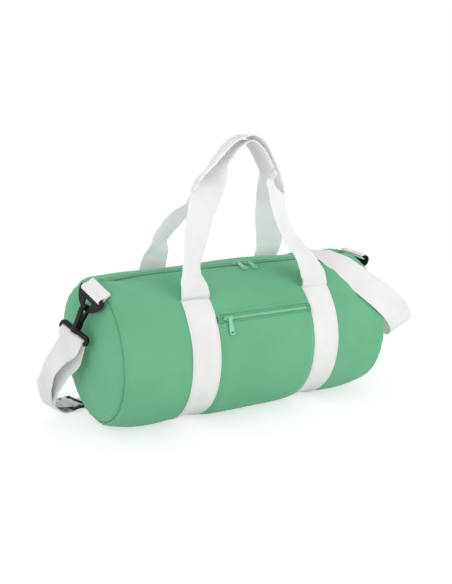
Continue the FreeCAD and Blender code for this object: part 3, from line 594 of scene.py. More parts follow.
def eased_rows(rows: Array, steps: int) -> Array:
    """Values between rows, eased from each row to the next by a smooth step.

    Args:
        rows: One row of values for each station.
        steps: Steps of each span.

    Returns:
        The finer rows.
    """
    share = ease(np.arange(steps) / steps)[None, :, None]
    finer = rows[:-1, None] * (1 - share) + rows[1:, None] * share
    return np.concatenate([finer.reshape(-1, rows.shape[1]), rows[-1:]])


def square_to(vectors: Array, run: Array) -> Array:
    """Unit vectors made square to directions of travel by taking off their share along them."""
    return unit(vectors - run * np.sum(vectors * run, axis=1, keepdims=True))


def lengths_along(route: Array) -> Array:
    """Distance along a route at each of its points."""
    return np.concatenate([[0.0], np.cumsum(np.linalg.norm(np.diff(route, axis=0), axis=1))])


def tidy_normals(made: Obj, merge: float = 0.0) -> None:
    """Merges double points, if asked to, and turns all faces outwards.

    Args:
        made: Object whose mesh is put right.
        merge: Distance in millimetres within which points are merged. At zero all are kept.
    """
    work = bmesh.new()
    work.from_mesh(made.data)
    if merge:
        bmesh.ops.remove_doubles(work, verts=work.verts, dist=merge * MM)
    bmesh.ops.recalc_face_normals(work, faces=work.faces)
    work.to_mesh(made.data)
    work.free()


@dataclass
class Ribbon:
    """Webbing carried along a route: a flat profile with half-round edges.

    An end named in thin narrows to the share tip of the thickness over that number of steps, and
    sinks by up to sink towards what it is sewn to. A given run sets the directions of travel, so
    that lengths cut from one strap shade as one.
    """

    route: Array
    edges: Array
    width: float = 50.0
    thick: float = 2.0
    start: float = 0.0
    lanes: int = 14
    thin: tuple[int, int] = (0, 0)
    tip: float = 0.2
    sink: float = 0.0
    run: Array | None = None

    def profile(self) -> tuple[Array, Array]:
        """Outline across the webbing: even lanes on each face joined by half-round edges.

        Returns:
            Distance across and height off the middle at each point.
        """
        radius = self.thick / 2
        flat = self.width / 2 - radius
        face = np.linspace(-flat, flat, self.lanes)
        level = np.full(self.lanes, radius)
        turn = np.radians(np.linspace(90, -90, 5)[1:-1])
        out, up = flat + radius * np.cos(turn), radius * np.sin(turn)
        across = np.concatenate([face, out, face[::-1], -out])
        return across, np.concatenate([level, up, -level, -up])

    def frames(self) -> tuple[Array, Array]:
        """Width and face directions along the route, square to each other and to the route.

        Returns:
            Two arrays of unit vectors.
        """
        run = unit(np.gradient(self.route, axis=0)) if self.run is None else self.run
        across = square_to(self.edges, run)
        return across, np.cross(run, across)

    def lengths(self) -> Array:
        """Distance along the whole webbing at each station."""
        return self.start + lengths_along(self.route)

    def faces(self, count: int, around: int) -> Array:
        """Faces of the swept profile and of its two ends.

        An end's faces leave out the middle point of each rounded edge, so a gap of about 0.2 square
        millimetres stays open there.

        Args:
            count: Stations of the route.
            around: Points of the profile.

        Returns:
            Corner numbers of each face.
        """
        number = np.arange(count * around).reshape(count, around)
        beside = np.roll(number, -1, axis=1)
        shell = np.stack([number[:-1], number[1:], beside[1:], beside[:-1]], -1).reshape(-1, 4)
        forward = np.arange(self.lanes - 1)
        back = 2 * self.lanes + 2 - forward
        lanes = np.stack([forward, forward + 1, back - 1, back], -1)
        far_edge = self.lanes + np.array([[-1, 0, 2, 3]])
        near_edge = np.array([[around - 4, around - 3, around - 1, 0]])
        tips = np.concatenate([lanes, far_edge, near_edge])
        return np.concatenate([shell, tips, tips[:, ::-1] + (count - 1) * around])

    def build(self, name: str, finish: Material) -> Obj:
        """Sweeps the profile along the route and fills both ends.

        At each station the profile's distances run along the width direction and its heights along
        the face direction, scaled by the share of the thickness there.

        Args:
            name: Object name.
            finish: Material of the webbing.

        Returns:
            The object, with its UV map across and along the webbing.
        """
        across, high = self.profile()
        side, face = self.frames()
        place = np.arange(len(self.route))
        body = np.ones(len(self.route))
        for steps, order in zip(self.thin, (place, place[::-1])):
            body = body * (self.tip + (1 - self.tip) * ease(order / steps)) if steps else body
        lift = high[None, :] * body[:, None] + (self.sink * (1 - body))[:, None]
        points = (self.route[:, None] + side[:, None] * across[None, :, None]
                  + face[:, None] * lift[..., None])
        faces = self.faces(*points.shape[:2])
        spread = np.stack(np.broadcast_arrays(across, self.lengths()[:, None]), -1)
        made = new_object(name, points.reshape(-1, 3), faces.tolist(), finish,
                          spread.reshape(-1, 2), sharp=WEBBING_SHARP)
        tidy_normals(made)
        if self.run is not None:
            slope = high / (self.thick / 2)
            tilt = np.sign(across) * np.sqrt(np.clip(1 - slope ** 2, 0, 1))
            shade = side[:, None] * tilt[None, :, None] + face[:, None] * slope[None, :, None]
            made.data.normals_split_custom_set_from_vertices(shade.reshape(-1, 3).tolist())
        return made


@dataclass(frozen=True)
class Sewing:
    """Rows of sewn stitches: one small six-sided bead for each pitch along each line.

    Each row of the bead gives its place along the stitch, its share of the thread's width and its
    drop, because the thread dives into the cloth at both ends. The caps are the faces that close
    its two ends.
    """

    pitch: float = 4.0
    length: float = 2.9
    width: float = 0.75
    sides: int = 6
    bead: tuple[Triple, ...] = (
        (-0.5, 0.45, -0.2), (-0.28, 1.0, 0.0), (0.28, 1.0, 0.0), (0.5, 0.45, -0.2),
    )
    caps: tuple[tuple[int, ...], ...] = (
        (5, 4, 1, 0), (4, 3, 2, 1), (18, 19, 22, 23), (19, 20, 21, 22),
    )

    def stitch(self) -> tuple[Array, Array]:
        """One stitch: rings scaled by their share of the width, set along the first axis.

        Returns:
            Its points and its faces.
        """
        turn = np.arange(self.sides) * math.tau / self.sides
        ring = np.stack([np.zeros(self.sides), np.cos(turn), np.sin(turn)], -1)
        points = np.concatenate([
            ring * (self.width / 2 * wide) + np.array([along * self.length, 0.0, drop * self.width])
            for along, wide, drop in self.bead
        ])
        spot = np.arange(len(points)).reshape(-1, self.sides)
        beside = np.roll(spot, -1, axis=1)
        shell = np.stack([spot[:-1], beside[:-1], beside[1:], spot[1:]], -1).reshape(-1, 4)
        return points, np.concatenate([shell, self.caps])

    def build(self, name: str, lines: list[tuple[Array, Array]], finish: Material) -> Obj:
        """Lays a stitch at every pitch along each line.

        Args:
            name: Object name.
            lines: Pairs of a route and its outward normals.
            finish: Thread material.

        Returns:
            One object with all the stitches.
        """
        bead, shape = self.stitch()
        points = []
        for route, normals in lines:
            step = lengths_along(route)
            places = np.arange(self.pitch / 2, step[-1], self.pitch)
            spots, ahead, behind, out = (
                np.stack([np.interp(at, step, rows[:, axis]) for axis in range(3)], -1)
                for at, rows in ((places, route), (places + 1.0, route), (places - 1.0, route),
                                 (places, normals))
            )
            run = unit(ahead - behind)
            out = square_to(out, run)
            axes = np.stack([run, np.cross(out, run), out], 1)
            points.append(spots[:, None] + bead @ axes)
        whole = np.concatenate(points)
        faces = shape[None] + (np.arange(len(whole)) * len(bead))[:, None, None]
        return new_object(name, whole.reshape(-1, 3), faces.reshape(-1, 4).tolist(), finish)


def ride(made: Obj, body: Body, slot: Slot, *nodes: str) -> None:
    """Puts a piece on a body and hides the CAD nodes that it stands for.

    Args:
        made: The piece.
        body: Body that it moves with.
        slot: Not used.
        nodes: CAD nodes that it stands for.
    """
    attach(made, body.value)
    if nodes:
        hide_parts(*nodes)
    LOG.info("%s rides on %s", made.name, body.value)


def bend(made: Obj, first: Body, second: Body, ends: Array | Rows, slot: Slot,
         *nodes: str) -> None:
    """Bakes a piece's placement into its mesh, hides the CAD nodes that it stands for and logs the
    bodies between which it would bend.

    Args:
        made: The piece.
        first: Body named in the log for its start.
        second: Body named in the log for its end.
        ends: Points where the bend would start and end, turned into metres and not used further.
        slot: Not used.
        nodes: CAD nodes that it stands for.
    """
    start, end = (tuple(np.asarray(spot) * MM) for spot in ends)
    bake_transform(made)
    if nodes:
        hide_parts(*nodes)
    LOG.info("%s bends from %s to %s", made.name, first.value, second.value)


def wrapped(turn: Array) -> Array:
    """Angles brought to between minus and plus half a turn."""
    return np.mod(turn + HALF_TURN, WHOLE_TURN) - HALF_TURN


def ridge(across: Array, up: Array, reach: float, spread: float, slant: float = 0.0) -> Array:
    """Gaussian ridge of height one through the origin of a flat place.

    Args:
        across: Distances across.
        up: Distances up.
        reach: How far it runs along its own line.
        spread: How far it spreads aside of that line.
        slant: Angle of its line in degrees.

    Returns:
        Height at each place.
    """
    tilt = math.radians(slant)
    along = across * math.cos(tilt) + up * math.sin(tilt)
    aside = up * math.cos(tilt) - across * math.sin(tilt)
    return np.exp(-((along / reach) ** 2) - (aside / spread) ** 2)


def rolled_edge(away: Array, dip: Pair, roll: Triple) -> Array:
    """Height of a rolled cloth edge: a dip that fades from the edge, and a Gaussian roll behind it.

    Args:
        away: Distance from the edge.
        dip: Depth at the edge, and the distance over which it fades.
        roll: Height of the roll, its distance from the edge and its spread.

    Returns:
        Height at each distance.
    """
    size, place, spread = roll
    return -dip[0] * np.exp(-away / dip[1]) + size * np.exp(-((away - place) / spread) ** 2)


@dataclass(frozen=True)
class BarrelForm:
    """Shape of the filled barrel: a cylinder pressed on the floor, with sags, puffs and puckers.

    A dent gives its place along the barrel, its angle, its reach, its spread in degrees and its
    height. A fold gives a spread in millimetres and a slant as well. Grooves and puckers along the
    end seams are sized for the left and the right end, and a pucker wave gives its count, size,
    shift from end to end and phase.
    """

    half: float = 250.0
    radius: float = 126.0
    axis_z: float = 121.0
    flat_z: float = 2.1
    floor_soft: float = 1.6
    zip_turn: float = 7.0
    pocket_turn: float = 62.3
    edge_drop: Pair = (2.6, 5.0)
    grooves: Pair = (3.8, 1.8)
    groove_reach: float = 2.2
    puckers: Pair = (0.55, 0.3)
    pucker_fade: float = 14.0
    pucker_waves: Rows = ((37, 1.0, 1.0, 0.0), (23, 0.6, 0.0, 1.3), (51, 0.5, 0.0, 0.4))
    fold_depth: float = 1.6
    dents: Rows = (
        (-238.0, 4.0, 62.0, 40.0, -5.0),
        (92.0, 38.0, 12.0, 8.0, -3.0),
        (-92.0, 40.0, 12.0, 8.0, -2.0),
        (-190.0, 70.0, 55.0, 45.0, 1.6),
        (0.0, 30.0, 70.0, 16.0, -1.2),
        (-255.0, 158.0, 38.0, 40.0, -9.0),
        (255.0, 158.0, 34.0, 40.0, -6.0),
        (-255.0, 210.0, 38.0, 40.0, -7.0),
        (255.0, 210.0, 34.0, 40.0, -6.0),
        (190.0, 90.0, 45.0, 50.0, 1.2),
        (40.0, 343.0, 105.0, 15.0, 6.0),
        (228.0, 352.0, 26.0, 26.0, 6.0),
        (176.0, 352.0, 30.0, 26.0, 2.4),
        (-205.0, 340.0, 50.0, 22.0, 3.0),
        (-115.0, 160.0, 30.0, 26.0, -6.5),
        (115.0, 160.0, 30.0, 26.0, -6.5),
        (244.0, 100.0, 26.0, 24.0, -4.0),
    )
    folds: Rows = (
        (-222.0, 22.0, 26.0, 9.0, 60.0, 1.6),
        (-196.0, 14.0, 34.0, 7.0, 24.0, -1.5),
        (-214.0, 48.0, 30.0, 10.0, 52.0, -1.6),
        (-150.0, 60.0, 44.0, 16.0, 20.0, -0.9),
        (-205.0, 108.0, 36.0, 14.0, -30.0, -1.0),
        (214.0, 50.0, 30.0, 10.0, -48.0, -1.3),
        (176.0, 112.0, 36.0, 14.0, 24.0, -0.9),
        (20.0, 28.0, 46.0, 9.0, -8.0, -0.7),
        (-40.0, 300.0, 60.0, 16.0, 12.0, -1.2),
        (160.0, 262.0, 44.0, 18.0, -26.0, -1.2),
        (-180.0, 255.0, 40.0, 16.0, 30.0, -1.3),
    )

    def swell(self, x: Array, turn: Array) -> Array:
        """Height of the cloth over the plain cylinder.

        Round dents are Gaussian in length and angle, folds are Gaussian ridges laid at a slant, the
        edge rounds down to the end seams, and fine puckers fade away from those seams.

        Args:
            x: Places along the barrel.
            turn: Angles round it.

        Returns:
            Height in millimetres.
        """
        wide = np.mod(turn, WHOLE_TURN)
        total = np.zeros(np.broadcast(x, turn).shape)
        for at, angle, reach, spread, size in self.dents:
            total = total + size * ridge(x - at, wrapped(wide - angle), reach, spread)
        for at, angle, reach, spread, slant, size in self.folds:
            off = self.arc(wrapped(wide - angle))
            total = total + self.fold_depth * size * ridge(x - at, off, reach, spread, slant)
        inset = self.half - np.abs(x)
        groove, pucker = (np.where(x < 0, *sizes) for sizes in (self.grooves, self.puckers))
        total = total - self.edge_drop[0] * np.exp(-inset / self.edge_drop[1])
        total = total - groove * np.exp(-((inset / self.groove_reach) ** 2))
        waves = sum(
            size * np.sin(count * np.radians(wide) + shift * np.sign(x) + phase)
            for count, size, shift, phase in self.pucker_waves
        )
        return total + pucker * waves * np.exp(-inset / self.pucker_fade)

    def point(self, x: Array, turn: Array, lift: Array | float = 0.0) -> Array:
        """Point of the barrel's cloth at a height above it, softly pressed on the floor.

        Args:
            x: Places along the barrel.
            turn: Angles round it.
            lift: Height above the cloth.

        Returns:
            Points, with the three coordinates on the last axis.
        """
        spin = np.radians(turn)
        reach = self.radius + self.swell(x, turn) + lift
        low = self.flat_z - lift
        high = self.axis_z + reach * np.cos(spin) - low
        pressed = low + self.floor_soft * np.logaddexp(0.0, high / self.floor_soft)
        return np.stack(np.broadcast_arrays(x, -reach * np.sin(spin), pressed), -1)

    def sheet(self, x: Array, turn: Array, top: Array | float,
              low: Array | float) -> tuple[Array, Array]:
        """Outer and inner points of a sheet between two heights above the cloth."""
        return self.point(x, turn, top), self.point(x, turn, low)

    def arc(self, turn: Array) -> Array:
        """Distance round the barrel at angles in degrees."""
        return np.radians(turn) * self.radius

    def beside(self, middle: float, aside: Array | float) -> Array:
        """Angles at distances aside of a line at a fixed angle."""
        return middle + np.degrees(aside / self.radius)


@dataclass(frozen=True)
class Mouth:
    """Opening along the zip: the strip behind it lifts, and a gusset at each end bends with it.

    Gusset is the length over which an end bends, and level is the height of that bend.
    """

    span: Pair = (-175.0, 100.0)
    hinge: float = 335.0
    gusset: float = 60.0
    level: float = 240.0

    def centre(self) -> float:
        """Middle of the mouth along the bag."""
        return (self.span[0] + self.span[1]) / 2

    def carry(self, made: Obj, half: int | None, slot: Slot, *nodes: str) -> None:
        """Puts a piece on the bag, or passes one half of the mouth to bend, with the bag and the
        strip as its bodies.

        Args:
            made: The piece.
            half: Number of the half of the mouth that it belongs to, or none if it stays.
            slot: Its finish slot.
            nodes: CAD nodes that it stands for.
        """
        if half is None:
            ride(made, Body.BAG, slot, *nodes)
            return
        start = np.array([self.span[half], 0.0, self.level])
        end = start + np.array([self.gusset * (1 - 2 * half), 0.0, 0.0])
        bend(made, Body.BAG, Body.FLAP, np.stack([start, end]), slot, *nodes)


@dataclass
class BagCloth:
    """Wrapped cloth, the lifting strip behind the zip, and the two round ends.

    The strip is two halves that lap by one cell, and the far edge of each half is tucked under the
    other. Bulges and puffs are sized for the left and the right end. The rings of an end are even
    in area up to the first share of end_rim and even in radius from the second. The end groove
    gives its depth and its reach as a share of the radius, an end wave its count, size and phase,
    the end pucker its count, size and fade, and an end crease its place across and up, its reach,
    spread, slant and height.
    """

    form: BarrelForm
    finishes: Finishes
    mouth: Mouth = Mouth()
    thick: float = 1.6
    slot_half: float = 2.4
    seam: float = 8.0
    cells_along: tuple[int, ...] = (10, 16, 65, 33, 10)
    cells_round: tuple[int, ...] = (161, 16)
    lip_dip: Pair = (1.6, 1.6)
    lip_roll: Triple = (0.7, 5.0, 3.0)
    lap: float = 4.0
    tuck: float = 0.3
    end_rings: tuple[int, int] = (34, 8)
    end_rim: Pair = (0.93, 0.972)
    end_columns: int = 181
    end_drop: float = 3.0
    end_weld: float = 0.02
    bulges: Pair = (18.0, 13.0)
    dome_power: float = 0.55
    end_groove: Pair = (4.2, 0.018)
    ripple: float = 5.0
    end_waves: tuple[Triple, ...] = ((3, 1.0, 0.6), (5, 0.7, 2.0))
    end_pucker: Triple = (31, 0.5, 0.09)
    far_puffs: Pair = (9.0, 0.0)
    puff_spot: Pair = (66.0, 168.0)
    puff_reach: float = 52.0
    end_creases: Rows = (
        (10.0, 205.0, 34.0, 9.0, -60.0, -2.2), (-45.0, 190.0, 30.0, 10.0, 40.0, -1.8),
        (50.0, 180.0, 34.0, 12.0, -35.0, -1.6), (0.0, 70.0, 60.0, 22.0, 8.0, 1.6),
    )

    def stations(self) -> tuple[Array, Array]:
        """Grid lines along and round the barrel, with the mouth's ends and hinge on lines.

        Returns:
            Places along the barrel and angles round it.
        """
        half, edge = self.form.half, self.form.half - self.seam
        lines = graded((-half, -edge, *self.mouth.span, edge, half), self.cells_along)
        first = self.form.beside(self.form.zip_turn, self.slot_half)
        last = self.form.beside(self.form.zip_turn + WHOLE_TURN, -self.slot_half)
        return lines, graded((first, self.mouth.hinge, last), self.cells_round)

    def lip(self, turns: Array) -> Array:
        """Rolled edge of the cloth along the zip."""
        away = self.form.arc(np.abs(wrapped(turns - self.form.zip_turn))) - self.slot_half
        return rolled_edge(away, self.lip_dip, self.lip_roll)

    def build(self) -> None:
        """Builds the wrapped cloth and the lifting strip from one shared grid, then the ends."""
        lines, turns = self.stations()
        x, turn = np.meshgrid(lines, turns, indexing="ij")
        lip = self.lip(turns)[None, :]
        outer, inner = self.form.sheet(x, turn, lip, lip - self.thick)
        shade = -grid_normals(outer)
        shade = shade * np.sign(np.sum(shade * (outer - inner), axis=-1, keepdims=True))
        uv = np.stack([x, self.form.arc(turn)], -1)
        middle_x = (x[:-1, :-1] + x[1:, 1:]) / 2
        middle_turn = (turn[:-1, :-1] + turn[1:, 1:]) / 2
        first, last = self.mouth.span
        strip = (middle_turn > self.mouth.hinge) & (middle_x > first) & (middle_x < last)
        whole = slab("barrel_cloth", outer, inner, self.finishes.cloth, uv, ~strip, shade)
        ride(whole, Body.BAG, Slot.CLOTH, "barrel_panel")
        centre = self.mouth.centre()
        for half, (side, name) in enumerate(SIDES):
            cells = strip & (side * (middle_x - centre) > -self.lap)
            tucked = lip - self.tuck * (side * (x - centre) < 0)
            faces = self.form.sheet(x, turn, tucked, tucked - self.thick)
            made = slab(f"top_strip_{name}", *faces, self.finishes.cloth, uv, cells, shade)
            nodes = ("rear_top_panel",) if half == 0 else ()
            self.mouth.carry(made, half, Slot.CLOTH, *nodes)
        for side, name in SIDES:
            self.build_end(side, name)

    def build_end(self, side: int, name: str) -> None:
        """Round end: rings scaled in from the barrel's edge and puffed out by a flattened dome.

        The dome is a power of one less the squared share of the radius, less a groove at the seam.
        Waves, puckers, creases and the rear swelling are added to it.

        Args:
            side: Sign of the end along the barrel.
            name: Name of the side.
        """
        shares = np.concatenate([
            np.sqrt(np.linspace(0.0, self.end_rim[0], self.end_rings[0])),
            np.linspace(self.end_rim[1], 1.0, self.end_rings[1]),
        ])
        turns = np.linspace(0.0, WHOLE_TURN, self.end_columns)
        seam = np.full(len(turns), side * self.form.half)
        middle = np.array([0.0, 0.0, self.form.axis_z - self.end_drop])
        outer, inner = (
            middle + shares[:, None, None] * (edge * np.array([0.0, 1.0, 1.0]) - middle)
            for edge in self.form.sheet(seam, turns, 0.0, -self.thick)
        )
        depth, reach = self.end_groove
        dome = self.bulges[side > 0] * (1 - shares ** 2) ** self.dome_power
        dome = dome - depth * np.exp(-(((1 - shares) / reach) ** 2))
        spin = np.radians(turns)
        swing = sum(size * np.sin(count * spin + phase) for count, size, phase in self.end_waves)
        ripple = self.ripple * np.outer(shares ** 2 * (1 - shares), swing)
        count, size, fade = self.end_pucker
        pucker = size * np.outer(np.exp(-(1 - shares) / fade), np.sin(count * spin))
        fold = self.end_folds(outer[..., 1:], self.far_puffs[side > 0])
        out = side * (self.form.half + dome[:, None] + ripple + pucker + fold)
        outer[..., 0], inner[..., 0] = out, out - side * self.thick
        uv = outer[..., 1:]
        made = slab(f"{name}_end_cloth", outer, inner, self.finishes.cloth, uv, wrap=True)
        tidy_normals(made, self.end_weld)
        ride(made, Body.BAG, Slot.CLOTH, f"{name}_end_panel")

    def end_folds(self, places: Array, puff: float) -> Array:
        """Soft creases of a round end and the swelling on its rear side.

        Args:
            places: Points of the end as across and up.
            puff: Height of the swelling.

        Returns:
            Height at each point.
        """
        off = (places - np.array(self.puff_spot)) / self.puff_reach
        total = puff * np.exp(-np.sum(off * off, axis=-1))
        for across, up, reach, spread, slant, size in self.end_creases:
            y, z = places[..., 0] - across, places[..., 1] - up
            total = total + size * ridge(y, z, reach, spread, slant)
        return total


@dataclass
class Bands:
    """Webbing bands sewn round the barrel, from one handle's foot under the base to the other's.

    Lanes gives the half width of the flat part and its number of grid lines, edge_lanes the insets
    of the lines at each edge, and rounding the drop at an edge and the width over which it falls.
    """

    form: BarrelForm
    finishes: Finishes
    offset: float = 115.0
    half: float = 25.0
    lanes: tuple[float, int] = (22.0, 12)
    edge_lanes: Triple = (0.0, 0.4, 1.2)
    rounding: Pair = (0.9, 1.4)
    turns: Pair = (43.5, 330.5)
    stations: int = 200
    low: float = 0.2
    high: float = 2.2
    inset: float = 3.2
    sewn_margin: float = 1.0
    sewn_lift: float = 0.1
    sewn_stations: int = 400
    sewing: Sewing = Sewing()

    def build(self) -> None:
        """Lays each band on the barrel's form and sews it along both edges.

        A band's face drops at each edge by the square of its share of the rounding's width.
        """
        edges = self.half - np.array(self.edge_lanes)
        flat = np.linspace(-self.lanes[0], self.lanes[0], self.lanes[1])
        across = np.concatenate([-edges, flat, edges[::-1]])
        depth, reach = self.rounding
        drop = depth * np.clip((np.abs(across) - (self.half - reach)) / reach, 0, 1) ** 2
        first, last = self.turns
        turns = np.linspace(first, last, self.stations)
        angles = np.linspace(first + self.sewn_margin, last - self.sewn_margin, self.sewn_stations)
        for side, name in SIDES:
            middle = side * self.offset
            x, turn = np.meshgrid(across + middle, turns, indexing="ij")
            faces = self.form.sheet(x, turn, self.high - drop[:, None], self.low)
            uv = np.stack([x - middle, self.form.arc(turn)], -1)
            made = slab(f"{name}_band_webbing", *faces, self.finishes.webbing, uv)
            ride(made, Body.BAG, Slot.WEBBING, f"{name}_band")
            lines = []
            for edge in (-1, 1):
                place = np.full(len(angles), middle + edge * (self.half - self.inset))
                row = self.form.point(place, angles, self.high + self.sewn_lift)
                axis = row * np.array([1.0, 0.0, 0.0]) + np.array([0.0, 0.0, self.form.axis_z])
                lines.append((row, unit(row - axis)))
            sewn = self.sewing.build(f"{name}_band_stitches", lines, self.finishes.white_thread)
            ride(sewn, Body.BAG, Slot.WEBBING)


@dataclass
class Handles:
    """Two carrying loops of webbing that meet flat over the top.

    Each row of a loop gives a station and the direction of the webbing's width, as an angle in
    degrees counted from straight along the bag. The rear loop is the upper layer of the arch. Each
    loop is passed to bend with the bag and its own body, its ends taken from its first rise rows.
    """

    finishes: Finishes
    steps: int = 8
    rise: int = 2
    sunk: float = 1.3
    front: Rows = (
        (-115.0, -91.5, 212.5, 0), (-115.0, -90.0, 219.9, 0), (-115.6, -88.5, 227.3, 4),
        (-117.6, -86.2, 239.0, 15), (-117.9, -83.6, 253.2, 28), (-115.3, -80.4, 269.8, 31),
        (-109.5, -76.6, 289.3, 24), (-102.1, -72.0, 313.3, 15), (-93.0, -66.7, 340.4, 10),
        (-81.0, -57.0, 361.5, 4), (-68.0, -45.0, 376.5, -10), (-56.5, -38.0, 389.5, -36),
        (-44.0, -34.0, 403.5, -72), (-30.0, -40.0, 424.0, -100), (-11.6, -42.0, 443.2, -104),
        (9.6, -41.0, 453.6, -96), (27.0, -41.0, 440.6, -91), (40.4, -41.0, 420.1, -90),
        (50.8, -44.0, 398.5, -91), (53.1, -50.0, 389.7, -98), (53.7, -54.0, 382.5, -124),
        (52.2, -59.9, 375.5, -149), (54.4, -62.9, 360.0, -153), (57.8, -67.2, 337.9, -152),
        (64.6, -71.9, 313.8, -149), (75.9, -76.1, 291.8, -149), (91.3, -80.2, 270.9, -154),
        (103.2, -84.1, 250.7, -164), (110.4, -86.8, 235.0, -174), (114.2, -88.5, 227.3, -178),
        (115.0, -90.0, 219.9, -180), (115.0, -91.5, 212.5, -180),
    )
    rear: Rows = (
        (-115.0, 66.6, 231.9, 0), (-115.0, 63.4, 238.8, 0), (-115.0, 60.2, 245.6, 2),
        (-113.9, 52.3, 262.7, 8), (-112.6, 41.8, 285.2, 32), (-105.3, 32.5, 305.1, 25),
        (-94.8, 25.3, 320.6, 20), (-81.5, 18.0, 336.4, 23), (-73.5, 5.2, 354.2, 40),
        (-79.0, -24.0, 378.0, 56), (-76.0, -46.0, 400.0, 62), (-60.5, -46.0, 415.5, 68),
        (-42.5, -42.0, 432.5, 73), (-22.8, -41.0, 450.5, 76), (9.7, -41.0, 462.6, 86),
        (27.0, -41.0, 454.2, 90), (45.0, -41.0, 428.0, 90), (60.4, -36.0, 401.2, 93),
        (71.8, -20.0, 381.5, 106), (90.9, 12.2, 348.7, 132), (99.7, 27.2, 316.5, 150),
        (112.0, 44.1, 280.4, 166), (116.5, 54.5, 257.8, 175), (115.4, 60.2, 245.6, 179),
        (115.0, 63.4, 238.8, 180), (115.0, 66.6, 231.9, 180),
    )

    def loop(self, rows: Rows) -> tuple[Array, Array]:
        """Fine route of a loop, and the direction of its width, eased from row to row.

        Args:
            rows: Stations with the angle of the width.

        Returns:
            Points of the route and unit vectors across it.
        """
        table = np.array(rows, dtype=float)
        turn = np.radians(eased_rows(table[:, 3:], self.steps)[:, 0])
        across = np.stack([np.cos(turn), np.sin(turn), 0 * turn], -1)
        return smooth_run(table[:, :3], self.steps), across

    def build(self) -> None:
        """Builds both loops and passes each one to bend, with the bag at its feet and its own body.
        """
        for name, rows, body, thin, sink in (
            ("front", self.front, Body.FRONT_HANDLE, (self.steps, 0), self.sunk),
            ("rear", self.rear, Body.REAR_HANDLE, (self.steps, self.steps), -self.sunk),
        ):
            route, across = self.loop(rows)
            webbing = Ribbon(route, across, thin=thin, sink=sink)
            # The handles take the pinkish webbing, whose tint is painted against the green bounce
            # light.
            made = webbing.build(f"{name}_handle_webbing", self.finishes.loose_webbing_pink_against_bounce)
            ends = route[[0, self.steps * self.rise]] * np.array([0.0, 1.0, 1.0])
            bend(made, Body.BAG, body, ends, Slot.WEBBING, f"{name}_handle")
            round(float(webbing.lengths()[-1]) * MM, 4)


@dataclass
class Pocket:
    """Outer front panel between the bands, and the folded strip above its zip.

    The panel goes from lift at the zip to base_lift at the angle base, and on under the bag to the
    angle tail. Both pieces come down to the barrel over the last side_reach, where the bands cover
    them. Floor_room keeps the panel clear of the floor: its least height, the room above that, the
    angle where the room starts to shrink and the angle over which it does.
    """

    form: BarrelForm
    finishes: Finishes
    half: float = 89.4
    columns: int = 61
    slot: float = 3.4
    base: float = 160.8
    tail: float = 196.0
    lip_turn: float = 4.0
    cells_round: tuple[int, ...] = (5, 89)
    lift: float = 4.4
    base_lift: float = 2.2
    seat: float = 1.0
    puff: float = 2.0
    side_reach: float = 9.0
    floor_room: tuple[float, ...] = (2.1, 4.3, 150.0, 14.0)
    dip: Pair = (1.0, 1.2)
    roll: Triple = (0.5, 4.0, 2.0)
    thick: float = 1.2
    welt: float = 16.0
    welt_edge: Triple = (0.0, 0.5, 1.2)
    welt_lanes: int = 14
    welt_fold: float = 8.5
    welt_seat: float = 0.5
    welt_dip: Pair = (0.9, 0.8)
    welt_thick: float = 1.0
    welt_low: float = 0.05

    def side(self, x: Array) -> Array:
        """Share of the full height at places along the barrel, eased down at both sides."""
        return ease((self.half - np.abs(x)) / self.side_reach)

    def height(self, x: Array, turn: Array) -> Array:
        """Height of the panel over the barrel.

        It is level with the zip at its top, puffs out in the middle, meets the base, and comes down
        to the barrel at both sides where the bands cover its edges.

        Args:
            x: Places along the barrel.
            turn: Angles round it.

        Returns:
            Height in millimetres.
        """
        top = self.form.pocket_turn
        share = np.clip((turn - top) / (self.base - top), 0, 1)
        level = self.lift * (1 - ease(share)) + self.base_lift * ease(share)
        level = level + self.puff * np.sin(math.pi * share)
        return self.seat + (level - self.seat) * self.side(x)

    def build(self) -> None:
        """Builds the panel and the strip above the zip."""
        lines = np.linspace(-self.half, self.half, self.columns)
        self.build_panel(lines)
        self.build_welt(lines)

    def build_panel(self, lines: Array) -> None:
        """Builds the panel, with a rolled edge at the zip.

        Its level is the lesser of its own height and the room over the floor, plus the roll.

        Args:
            lines: Grid lines along the barrel.
        """
        top = self.form.beside(self.form.pocket_turn, self.slot)
        turns = graded((top, top + self.lip_turn, self.tail), self.cells_round)
        x, turn = np.meshgrid(lines, turns, indexing="ij")
        least, room, start, fade = self.floor_room
        level = np.minimum(self.height(x, turn), least + room * (1 - ease((turn - start) / fade)))
        level = level + rolled_edge(self.form.arc(turn - top), self.dip, self.roll)
        faces = self.form.sheet(x, turn, level, level - self.thick)
        uv = np.stack([x, self.form.arc(turn)], -1)
        made = slab("pocket_cloth", *faces, self.finishes.cloth, uv)
        ride(made, Body.BAG, Slot.CLOTH, "pocket_panel")

    def build_welt(self, lines: Array) -> None:
        """Builds the folded strip above the zip.

        It is level as far as the fold, eases down to the barrel and dips exponentially at its edge.

        Args:
            lines: Grid lines along the barrel.
        """
        first, second, third = self.slot + np.array(self.welt_edge)
        off = np.concatenate([[first, second], np.linspace(third, self.welt, self.welt_lanes)])
        x, away = np.meshgrid(lines, off, indexing="ij")
        turn = self.form.beside(self.form.pocket_turn, -away)
        fall = 1 - ease((away - self.welt_fold) / (self.welt - self.welt_fold))
        depth, fade = self.welt_dip
        level = self.welt_seat + (self.lift - self.welt_seat) * fall * self.side(x)
        level = level - depth * np.exp(-(away - self.slot) / fade) * self.side(x)
        low = np.maximum(level - self.welt_thick, self.welt_low)
        faces = self.form.sheet(x, turn, level, low)
        made = slab("pocket_welt_cloth", *faces, self.finishes.cloth, np.stack([x, away], -1))
        ride(made, Body.BAG, Slot.CLOTH, "pocket_welt")


@dataclass(frozen=True)
class ZipHalf:
    """Place of one half of a zip: its ends along the bag, its side and its middle line's angle."""

    span: Pair
    side: int
    middle: float


